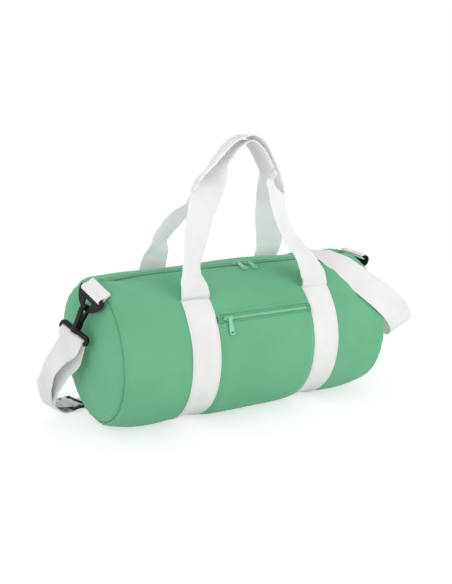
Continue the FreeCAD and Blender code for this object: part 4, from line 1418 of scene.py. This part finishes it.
@dataclass
class Zips:
    """Soft tapes, moulded teeth and sewing of the main zip and the pocket zip.

    Each half of a zip lies to one side of a middle line at a fixed angle. Distances aside are
    counted from that line, positive towards the pocket. Levels are the heights of a piece's lower
    and upper face over the barrel. A seam gives its distance aside and its height, and the pocket's
    gives its half length first. A tab gives its place and half length along the bag, its half width
    and the height of its underside.
    """

    form: BarrelForm
    finishes: Finishes
    mouth: Mouth = Mouth()
    pitch: float = 3.0
    tooth: float = 1.9
    aside: Pair = (-0.5, 2.5)
    tooth_rows: tuple[Triple, ...] = ((0.0, 1.0, 0.0), (0.7, 1.0, 0.0), (1.0, 0.72, 0.22))
    tape_aside: Pair = (0.5, 11.0)
    tape_cell: float = 4.0
    tape_lanes: int = 5
    reach: float = 236.0
    tape_level: Pair = (-3.9, -3.0)
    teeth_level: Pair = (-3.0, -0.6)
    seam: Pair = (7.4, 0.55)
    tab: tuple[float, ...] = (240.0, 7.0, 8.5, 0.2)
    pocket_reach: float = 82.0
    pocket_tape_level: Pair = (1.9, 2.7)
    pocket_teeth_level: Pair = (2.6, 5.8)
    pocket_seam: Triple = (84.0, 6.6, 4.9)
    bartack: tuple[float, ...] = (85.4, 3.2, 6.0, 4.2)
    tab_thick: float = 1.1
    tab_rounding: float = 0.4
    tab_power: int = 6
    tab_grid: tuple[int, int] = (9, 11)
    zigzags: int = 14
    zigzag_shares: Pair = (0.55, 0.8)
    zigzag_lift: float = 0.05
    sewn_stations: int = 160
    sewing: Sewing = Sewing(pitch=4.6, length=3.0, width=1.3)
    zigzag: Sewing = Sewing(pitch=2.4, length=2.2, width=0.55)

    def tape(self, name: str, half: ZipHalf, level: Pair, finish: Material) -> Obj:
        """Woven tape of one half of a zip: a flat grid wrapped on the barrel between two heights.

        Args:
            name: Object name.
            half: Place of the half.
            level: Heights of its lower and upper face.
            finish: Material of the tape.

        Returns:
            The tape.
        """
        first, last = half.span
        lines = np.linspace(first, last, max(int((last - first) / self.tape_cell), 3))
        x, off = np.meshgrid(lines, np.linspace(*self.tape_aside, self.tape_lanes), indexing="ij")
        turn = self.form.beside(half.middle, half.side * off)
        faces = self.form.sheet(x, turn, level[1], level[0])
        return slab(name, *faces, finish, np.stack([x, off], -1))

    def teeth(self, name: str, half: ZipHalf, level: Pair, finish: Material) -> Obj:
        """Row of moulded teeth: one block with a chamfered top for each pitch.

        The two rows of a zip are half a pitch apart. Each row of a tooth gives its share of the
        height, its share of the length and how far it is drawn in.

        Args:
            name: Object name.
            half: Place of the half.
            level: Heights of the blocks' feet and tops.
            finish: Material of the teeth.

        Returns:
            The row of teeth.
        """
        shift = 0.0 if half.side > 0 else self.pitch / 2
        first = math.ceil(half.span[0] / self.pitch) * self.pitch + shift
        spots = np.arange(first + self.tooth, half.span[1] - self.tooth, self.pitch)
        ring = np.array([[-1.0, 0.0], [1.0, 0.0], [1.0, 1.0], [-1.0, 1.0]])
        high, long, inside = np.array(self.tooth_rows).T[:, None, :, None]
        x = spots[:, None, None] + self.tooth / 2 * ring[:, 0] * long
        wide = self.aside[1] - self.aside[0]
        off = self.aside[0] + wide * (inside / 2 + ring[:, 1] * (1 - inside))
        x, off, up = np.broadcast_arrays(x, off, level[0] + (level[1] - level[0]) * high)
        points = self.form.point(x, self.form.beside(half.middle, half.side * off), up)
        spot = np.arange(ring.shape[0] * len(self.tooth_rows)).reshape(-1, ring.shape[0])
        beside = np.roll(spot, -1, axis=1)
        walls = np.stack([spot[:-1], beside[:-1], beside[1:], spot[1:]], -1).reshape(-1, 4)
        shape = np.concatenate([walls, spot[-1:], spot[:1, ::-1]])
        faces = (shape[None] + spot.size * np.arange(len(spots))[:, None, None]).reshape(-1, 4)
        made = new_object(name, points.reshape(-1, 3), faces.tolist(), finish, sharp=TOOTH_SHARP)
        tidy_normals(made)
        return made

    def line(self, x: Array, aside: Array, lift: float, middle: float) -> tuple[Array, Array]:
        """Sewing line over the barrel at distances aside of a middle line, with its normals."""
        over, row = self.form.sheet(x, self.form.beside(middle, aside), lift + 1.0, lift)
        return row, over - row

    def sew(self, name: str, span: Pair, offs: tuple[float, ...], lift: float,
            middle: float) -> Obj:
        """Rows of stitches beside a zip.

        Args:
            name: Object name.
            span: Ends of the rows along the bag.
            offs: Distances of the rows aside of the middle line.
            lift: Height over the barrel.
            middle: Angle of the middle line.

        Returns:
            The stitches.
        """
        x = np.linspace(*span, self.sewn_stations)
        lines = [self.line(x, np.full(len(x), off), lift, middle) for off in offs]
        return self.sewing.build(name, lines, self.finishes.mint_thread)

    def build(self) -> None:
        """Builds both zips, their end tabs and their sewing."""
        self.build_main()
        self.build_pocket()
        for side, name in SIDES:
            self.end_tab(f"{name}_zip_end_cloth", side, self.tab, self.form.zip_turn,
                         f"{name}_zip_end")
            self.end_tab(f"{name}_pocket_bartack", side, self.bartack, self.form.pocket_turn)

    def build_main(self) -> None:
        """Builds the main zip: its front half, and its rear half cut at the mouth."""
        middle, seam = self.form.zip_turn, self.seam
        first, last = self.mouth.span
        centre = self.mouth.centre()
        halves = (
            ("front", (-self.reach, self.reach), 1, None, "front_zip_{}"),
            ("rear_left", (-self.reach, first), -1, None, "rear_zip_{}_left"),
            ("rear_mouth_left", (first, centre), -1, 0, "rear_zip_{}"),
            ("rear_mouth_right", (centre, last), -1, 1, None),
            ("rear_right", (last, self.reach), -1, None, "rear_zip_{}_right"),
        )
        for name, span, side, part, cad in halves:
            half = ZipHalf(span, side, middle)
            tapes, rows = ((cad.format(kind),) if cad else () for kind in ("tape", "teeth"))
            # The tape and the darker teeth below carry painted shade for the shadow in the slot.
            made = self.tape(f"{name}_tape_woven", half, self.tape_level, self.finishes.tape)
            self.mouth.carry(made, part, Slot.ZIP, *tapes)
            made = self.teeth(f"{name}_teeth_row", half, self.teeth_level, self.finishes.slot_shade_teeth)
            self.mouth.carry(made, part, Slot.ZIP, *rows)
            made = self.sew(f"{name}_zip_sewing", span, (side * seam[0],), seam[1], middle)
            self.mouth.carry(made, part, Slot.CLOTH)

    def build_pocket(self) -> None:
        """Builds the two halves of the pocket zip and the sewing above and below it."""
        middle = self.form.pocket_turn
        for name, side in (("upper", -1), ("lower", 1)):
            half = ZipHalf((-self.pocket_reach, self.pocket_reach), side, middle)
            made = self.tape(f"pocket_{name}_tape_woven", half, self.pocket_tape_level,
                             self.finishes.cloth)
            ride(made, Body.BAG, Slot.ZIP, f"pocket_{name}_tape")
            made = self.teeth(f"pocket_{name}_teeth_row", half, self.pocket_teeth_level,
                              self.finishes.teeth)
            ride(made, Body.BAG, Slot.ZIP, f"pocket_{name}_teeth")
        reach, off, lift = self.pocket_seam
        made = self.sew("pocket_zip_sewing", (-reach, reach), (off, -off), lift, middle)
        ride(made, Body.BAG, Slot.CLOTH)

    def end_tab(self, name: str, side: int, tab: tuple[float, ...], middle: float,
                *nodes: str) -> None:
        """Small cloth tab sewn over the end of a zip, with a zigzag row of stitches.

        Its top drops by a high power of the shares of its half length and half width.

        Args:
            name: Object name.
            side: Sign of the end along the bag.
            tab: Its place and half length along the bag, its half width and its underside's height.
            middle: Angle of the zip's middle line.
            nodes: CAD nodes that it stands for.
        """
        spot, long, wide, lift = tab
        rows, lanes = self.tab_grid
        x, off = np.meshgrid(np.linspace(-long, long, rows), np.linspace(-wide, wide, lanes),
                             indexing="ij")
        drop = (np.abs(x) / long) ** self.tab_power + (np.abs(off) / wide) ** self.tab_power
        x = x + side * spot
        turn = self.form.beside(middle, off)
        top = lift + self.tab_thick
        faces = self.form.sheet(x, turn, top - self.tab_rounding * drop, lift)
        made = slab(name, *faces, self.finishes.cloth, np.stack([x, off], -1))
        ride(made, Body.BAG, Slot.CLOTH, *nodes)
        reach, half = self.zigzag_shares[0] * long, self.zigzag_shares[1] * wide
        zig = side * spot + reach * np.where(np.arange(self.zigzags) % 2, 1.0, -1.0)
        zag = np.linspace(-half, half, self.zigzags)
        row = self.line(zig, zag, top + self.zigzag_lift, middle)
        sewn = self.zigzag.build(f"{name}_zigzag", [row], self.finishes.mint_thread)
        ride(sewn, Body.BAG, Slot.CLOTH)


@dataclass
class SeamBindings:
    """Binding tapes over the raw edges of the end seams, on the inside of the bag."""

    form: BarrelForm
    finishes: Finishes
    span: Pair = (240.5, 248.6)
    lanes: int = 4
    stations: int = 145
    level: Pair = (-3.4, -2.2)

    def build(self) -> None:
        """Lays each tape round the inside of the barrel, close to its end, between two heights."""
        lines = np.linspace(*self.span, self.lanes)
        turns = np.linspace(0.0, WHOLE_TURN, self.stations)
        for side, name in SIDES:
            x, turn = np.meshgrid(side * lines, turns, indexing="ij")
            faces = self.form.sheet(x, turn, self.level[1], self.level[0])
            uv = np.stack([x, self.form.arc(turn)], -1)
            made = slab(f"{name}_binding_tape", *faces, self.finishes.lining, uv, wrap=True)
            ride(made, Body.BAG, Slot.CLOTH, f"{name}_seam_binding")


def edged(rows: Rows, edge: Triple) -> Array:
    """Stations that share one direction of the webbing's width, as rows of a strap."""
    return np.concatenate([np.array(rows), np.tile(edge, (len(rows), 1))], axis=1)


@dataclass
class Strap:
    """Shoulder strap: one webbing through both yokes and the slide, lying on the floor behind.

    Each row gives a station and, where the webbing twists, the direction of its width there. A cut
    gives a part of the route and a row of that part. The ends are the points given to bend for a
    length that hangs from a body of its own.
    """

    finishes: Finishes
    steps: int = 5
    cuts: tuple[tuple[int, int], ...] = ((1, 2), (3, 3), (4, 0), (4, 4), (5, 3))
    slide_edge: Triple = (0.240, -0.971, 0.0)
    left_edge: Triple = (0.362, -0.835, -0.414)
    right_edge: Triple = (0.362, -0.930, -0.059)
    hem: Rows = (
        (-273.4, 106.7, 3.4), (-265.6, 108.7, 3.4), (-264.4, 109.0, 3.7), (-263.3, 109.2, 4.4),
        (-262.6, 109.4, 5.4), (-262.4, 109.4, 6.7), (-262.6, 109.4, 8.0), (-263.3, 109.2, 9.0),
        (-264.4, 109.0, 9.7),
    )
    inner: Rows = (
        (-265.6, 108.7, 10.0, 0.240, -0.971, 0.0), (-292.5, 100.0, 28.0, 0.250, -0.841, -0.480),
        (-299.5, 74.0, 54.1, 0.100, -0.718, -0.688), (-299.0, 44.0, 80.0, -0.020, -0.702, -0.712),
        (-295.0, 16.0, 108.0, 0.020, -0.741, -0.671), (-288.5, -7.6, 131.0, 0.200, -0.805, -0.560),
    )
    left_wrap: Rows = (
        (-289.5, -15.6, 149.6), (-288.0, -20.0, 163.0), (-287.8, -20.9, 164.9),
        (-288.5, -22.0, 166.4), (-290.1, -23.1, 167.3), (-292.0, -23.9, 167.1),
        (-293.8, -24.1, 166.1), (-294.9, -23.7, 164.4), (-300.0, -19.3, 151.0),
    )
    outer: Rows = (
        (-304.5, -6.0, 138.0, -0.080, -0.797, -0.598),
        (-311.0, 19.0, 112.8, -0.201, -0.722, -0.662), (-312.0, 46.4, 84.2, -0.040, -0.702, -0.712),
        (-306.0, 79.0, 55.1, 0.120, -0.702, -0.702), (-302.0, 99.0, 36.5, 0.222, -0.847, -0.484),
        (-291.5, 103.6, 11.6, 0.240, -0.970, -0.040), (-274.9, 106.3, 1.3, 0.240, -0.971, 0.0),
        (-260.4, 109.9, 1.3, 0.240, -0.971, 0.0), (-253.4, 111.7, 10.0, 0.240, -0.971, 0.0),
        (-250.6, 112.4, 10.0, 0.240, -0.971, 0.0), (-243.6, 114.1, 1.3, 0.240, -0.971, 0.0),
        (-222.1, 119.4, 1.3, 0.240, -0.971, 0.0),
    )
    rear: Rows = (
        (-175.0, 129.8, 1.3, 0.200, -0.980, 0.0), (-100.0, 142.4, 1.3, 0.120, -0.993, 0.0),
        (-25.0, 149.9, 1.3, 0.040, -0.999, 0.0), (50.0, 151.2, 1.3, 0.0, -1.0, 0.0),
        (102.5, 151.8, 7.6, 0.0, -1.0, 0.0), (136.2, 153.1, 30.2, 0.119, -0.993, 0.0),
        (151.2, 154.4, 65.5, 0.479, -0.878, 0.0), (160.0, 152.5, 104.6, 0.821, -0.571, 0.0),
        (165.0, 141.1, 146.2, 0.989, -0.148, 0.0), (169.0, 106.9, 193.1, 1.0, 0.0, 0.0),
        (172.5, 68.8, 231.2, 0.999, 0.050, 0.0), (177.0, 22.8, 250.1, 0.968, 0.250, 0.0),
    )
    drape: Rows = (
        (184.5, -27.3, 249.6, 0.930, 0.340, 0.150), (196.5, -68.0, 232.5, 0.870, 0.240, 0.430),
        (214.0, -101.0, 208.0, 0.800, 0.120, 0.580), (236.0, -119.0, 187.0, 0.760, 0.020, 0.650),
        (259.0, -125.0, 166.0, 0.700, -0.080, 0.700), (282.0, -119.0, 145.0, 0.680, -0.200, 0.700),
        (304.0, -102.0, 123.0, 0.740, -0.300, 0.600), (310.0, -86.0, 113.5, 0.760, -0.360, 0.540),
        (316.0, -58.0, 115.0, 0.680, -0.600, 0.420), (312.0, -28.0, 134.0, 0.500, -0.840, 0.200),
    )
    right_wrap: Rows = (
        (295.0, 0.5, 165.5), (289.9, -2.4, 179.4), (288.8, -2.9, 181.0), (287.0, -3.7, 181.8),
        (285.1, -4.4, 181.5), (283.5, -4.9, 180.3), (282.8, -5.1, 178.3), (283.0, -4.9, 176.3),
        (291.4, -0.1, 153.2),
    )
    slide_ends: tuple[Triple, Triple] = ((-292.0, 98.0, 30.0), (-268.0, 108.0, 10.0))
    left_ends: tuple[Triple, Triple] = ((-301.0, 52.0, 74.0), (-297.0, -17.0, 150.0))
    right_ends: tuple[Triple, Triple] = ((314.0, -66.0, 112.0), (297.0, -2.0, 163.0))

    def whole(self) -> tuple[Array, Array, list[int]]:
        """Stations of the whole strap and the numbers of those where it is cut into pieces.

        Returns:
            Centres, edge directions and the cutting stations, with both ends.
        """
        parts = [
            edged(self.hem, self.slide_edge), np.array(self.inner),
            edged(self.left_wrap, self.left_edge), np.array(self.outer), np.array(self.rear),
            np.array(self.drape), edged(self.right_wrap, self.right_edge),
        ]
        rows = np.concatenate(parts)
        starts = np.cumsum([0] + [len(part) for part in parts])
        cuts = [int(starts[part]) + row for part, row in self.cuts]
        return rows[:, :3], rows[:, 3:], [0, *cuts, len(rows) - 1]

    def build(self) -> None:
        """Sweeps the strap, cuts it where it flexes, puts the lengths that stay on the bag, and
        passes the others to bend.

        The directions of its width are eased from row to row, made square to the route, and turned
        about where one would point against the one before it.
        """
        centres, edges, cuts = self.whole()
        route = smooth_run(centres, self.steps)
        run = unit(np.gradient(route, axis=0))
        sides = square_to(eased_rows(edges, self.steps), run)
        flips = np.where(np.sum(sides[1:] * sides[:-1], axis=1) < 0, -1.0, 1.0)
        sides = sides * np.concatenate([[1.0], np.cumprod(flips)])[:, None]
        # The first three lengths take the pinkish webbing, whose tint is painted against the green
        # bounce light.
        bounce_tinted, plain = self.finishes.loose_webbing_pink_against_bounce, self.finishes.webbing
        pieces = (
            ("strap_return_low", ("strap_left_return",), bounce_tinted, Body.ADJUSTER, self.slide_ends),
            ("strap_left_loop_top", ("strap_left_loop",), bounce_tinted, Body.LEFT_CLIP, self.left_ends),
            ("strap_left_loop_low", (), bounce_tinted, None, None),
            ("strap_floor_run", ("strap_rear_run",), plain, None, None),
            ("strap_rear_climb", (), plain, None, None),
            ("strap_right_hang", ("strap_right_drape",), plain, Body.RIGHT_CLIP, self.right_ends),
        )
        at = 0.0
        for index, (name, nodes, finish, body, ends) in enumerate(pieces):
            part = slice(cuts[index] * self.steps, cuts[index + 1] * self.steps + 1)
            piece = Ribbon(route[part], sides[part], start=at, run=run[part])
            made = piece.build(name, finish)
            length = float(piece.lengths()[-1]) - at
            at = float(piece.lengths()[-1])
            if body is None:
                ride(made, Body.BAG, Slot.WEBBING, *nodes)
            else:
                bend(made, Body.BAG, body, ends, Slot.WEBBING, *nodes)


@dataclass
class RingTabs:
    """Folded webbing tabs that hold the rings at both ends, each in its own ring bar's frame.

    A place gives the middle of the bar, its direction, the direction out of the bag, and how far
    the tab's foot lies in and up from the bar.
    """

    finishes: Finishes
    width: float = 50.0
    loop: float = 4.1
    gap: float = 1.1
    sunk: float = -1.5
    foot: float = 0.6
    neck: float = 3.0
    leg_steps: int = 8
    loop_steps: int = 13
    places: tuple[tuple, ...] = (
        ("left", (-267.0, -43.45, 228.55), (-0.1736, 0.9131, 0.3689),
         (-0.9848, -0.1610, -0.0650), 17.0, 10.0),
        ("right", (262.0, -17.40, 244.78), (0.1736, -0.9752, -0.1371),
         (0.9848, 0.1720, 0.0242), 12.0, 1.0),
    )

    def build(self) -> None:
        """Builds each tab: up from the seam over the edge, round the ring's bar and back.

        The loop is a half circle round the bar. Both legs close in from its radius to the gap by an
        exponential.
        """
        for name, base, edge, outward, out, drop in self.places:
            across, outer = np.array(edge), np.array(outward)
            up = np.cross(across, outer)
            up = up * np.sign(up[2])
            reach = np.array([-out - self.sunk, drop + self.foot])
            away = unit(reach)
            aside = np.array([away[1], -away[0]])
            sweep = np.radians(np.linspace(0, -HALF_TURN, self.loop_steps))
            ring = self.loop * (np.cos(sweep)[:, None] * aside + np.sin(sweep)[:, None] * away)
            steps = np.linspace(float(np.linalg.norm(reach)), self.neck, self.leg_steps)
            legs = steps[:, None] * away
            widen = np.exp(-(steps - self.neck) / self.neck)
            narrow = (self.gap + (self.loop - self.gap) * widen)[:, None] * aside
            flat = np.concatenate([legs + narrow, ring, (legs - narrow)[::-1]])
            route = np.array(base) + flat[:, :1] * outer + flat[:, 1:] * up
            webbing = Ribbon(route, np.tile(across, (len(route), 1)), width=self.width)
            made = webbing.build(f"{name}_tab_webbing", self.finishes.webbing)
            ride(made, Body.BAG, Slot.WEBBING, f"{name}_ring_tab")
            round(float(webbing.lengths()[-1]) * MM, 4)


def dress_nodes(frame: dict, finishes: Finishes) -> None:
    """Gives the hard CAD nodes that stay in view their finishes, by words in their names.

    Args:
        frame: The loaded frame.
        finishes: The finishes of the bag.
    """
    kinds = {
        finishes.enamel: ("slider_body", "slider_pull"),
        finishes.plastic: ("d_ring", "hook", "yoke", "adjuster"),
    }
    for name, made in frame["nodes"].items():
        for finish, words in kinds.items():
            if any(word in name for word in words):
                made.data.materials.clear()
                made.data.materials.append(finish)


def shown_rays(tree: NodeTree) -> Socket:
    """Picks out the rays that carry the view, straight or by gloss or glass.

    Args:
        tree: Node tree that takes the nodes.

    Returns:
        A socket that is one for those rays and nothing for others.
    """
    rays = node(tree, "ShaderNodeLightPath").outputs
    shown = rays["Is Camera Ray"]
    for name in ("Is Glossy Ray", "Is Transmission Ray"):
        shown = node(tree, "ShaderNodeMath", {"operation": "MAXIMUM"}, i0=shown,
                     i1=rays[name]).outputs[0]
    return shown


@dataclass(frozen=True)
class Studio:
    """Camera at the photograph's view, pale floor, white surround and three soft lamps.

    The camera and the lamps are in metres, and the floor is in millimetres. A lamp gives its name,
    place, aim, size and power.
    """

    eye: Triple = (-0.705855, -1.174846, 0.477179)
    target: Triple = (-0.00628, 0.00005, 0.19663)
    lens: float = 49.97
    sensor: float = 36.0
    fill: float = 0.71
    lamps: tuple[tuple, ...] = (
        ("right", (1.4, -1.5, 0.45), (-0.05, 0.0, 0.28), 1.2, 13.0),
        ("top", (-0.3, 0.2, 2.2), (0.0, 0.0, 0.2), 2.0, 3.0),
        ("left", (-1.9, -1.0, 0.6), (-0.1, 0.0, 0.2), 1.4, 9.0),
    )
    floor_paper: float = 0.92
    floor_shown: float = 0.50
    floor_glow: float = 0.64
    floor_half: float = 4000.0
    floor_z: float = -0.3
    floor_lines: int = 5

    def build(self) -> None:
        """Sets the colour view and builds the camera, the surround, the lamps and the floor."""
        scene = bpy.context.scene
        scene.view_settings.view_transform = "Standard"
        camera = bpy.data.cameras.new("camera")
        camera.lens, camera.sensor_width = self.lens, self.sensor
        scene.camera = self.aimed(camera, self.eye, self.target)
        self.surround()
        for name, spot, aim, size, power in self.lamps:
            lamp = bpy.data.lights.new(name, "AREA")
            lamp.size, lamp.energy = size, power
            self.aimed(lamp, spot, aim)
        self.floor()

    def aimed(self, data: bpy.types.ID, spot: Triple, aim: Triple) -> Obj:
        """Puts a camera or a lamp in the scene and turns it to what it aims at.

        Args:
            data: The camera or the lamp.
            spot: Its place.
            aim: The place that it looks at.

        Returns:
            Its object.
        """
        made = bpy.data.objects.new(data.name, data)
        made.location = spot
        made.rotation_euler = (Vector(aim) - Vector(spot)).to_track_quat("-Z", "Y").to_euler()
        bpy.context.scene.collection.objects.link(made)
        return made

    def surround(self) -> None:
        """White surround to the view, and a softer fill light on the bag."""
        world = bpy.data.worlds.new("white_surround")
        bpy.context.scene.world = world
        world.use_nodes = True
        tree = world.node_tree
        tree.nodes.clear()
        fill, plain = (
            node(tree, "ShaderNodeBackground", Color=WHITE, Strength=strength).outputs[0]
            for strength in (self.fill, 1.0)
        )
        mixed = node(tree, "ShaderNodeMixShader", i0=shown_rays(tree), i1=fill, i2=plain)
        node(tree, "ShaderNodeOutputWorld", Surface=mixed.outputs[0])

    def floor(self) -> None:
        """Pale floor: white to the view, partly by real light so that the bag's shadow stays."""
        made, tree, surface = fresh_material("pale_floor")
        paper, thin = (
            node(tree, "ShaderNodeBsdfDiffuse", Color=(grey, grey, grey, 1.0)).outputs[0]
            for grey in (self.floor_paper, self.floor_shown)
        )
        glow = node(tree, "ShaderNodeEmission", Color=WHITE, Strength=self.floor_glow).outputs[0]
        shown = node(tree, "ShaderNodeAddShader", i0=thin, i1=glow).outputs[0]
        mixed = node(tree, "ShaderNodeMixShader", i0=shown_rays(tree), i1=paper, i2=shown)
        tree.links.new(mixed.outputs[0], surface)
        reach = np.linspace(-self.floor_half, self.floor_half, self.floor_lines)
        x, y = np.meshgrid(reach, reach, indexing="ij")
        spots = np.stack([x, y, np.full(x.shape, self.floor_z)], -1).reshape(-1, 3)
        number = np.arange(x.size).reshape(x.shape)
        faces = np.stack([number[:-1, :-1], number[1:, :-1], number[1:, 1:], number[:-1, 1:]], -1)
        new_object("pale_floor", spots, faces.reshape(-1, 4).tolist(), made)


def main() -> None:
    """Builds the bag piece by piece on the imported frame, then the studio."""
    logging.basicConfig(level=logging.INFO, format="%(name)s %(message)s")
    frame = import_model()
    finishes = Finishes.make()
    dress_nodes(frame, finishes)
    form = BarrelForm()
    parts = (
        BagCloth(form, finishes), Bands(form, finishes), Pocket(form, finishes), Handles(finishes),
        Zips(form, finishes), SeamBindings(form, finishes), RingTabs(finishes), Strap(finishes),
    )
    for part in parts:
        part.build()
    Studio().build()


if __name__ == "__main__":
    main()
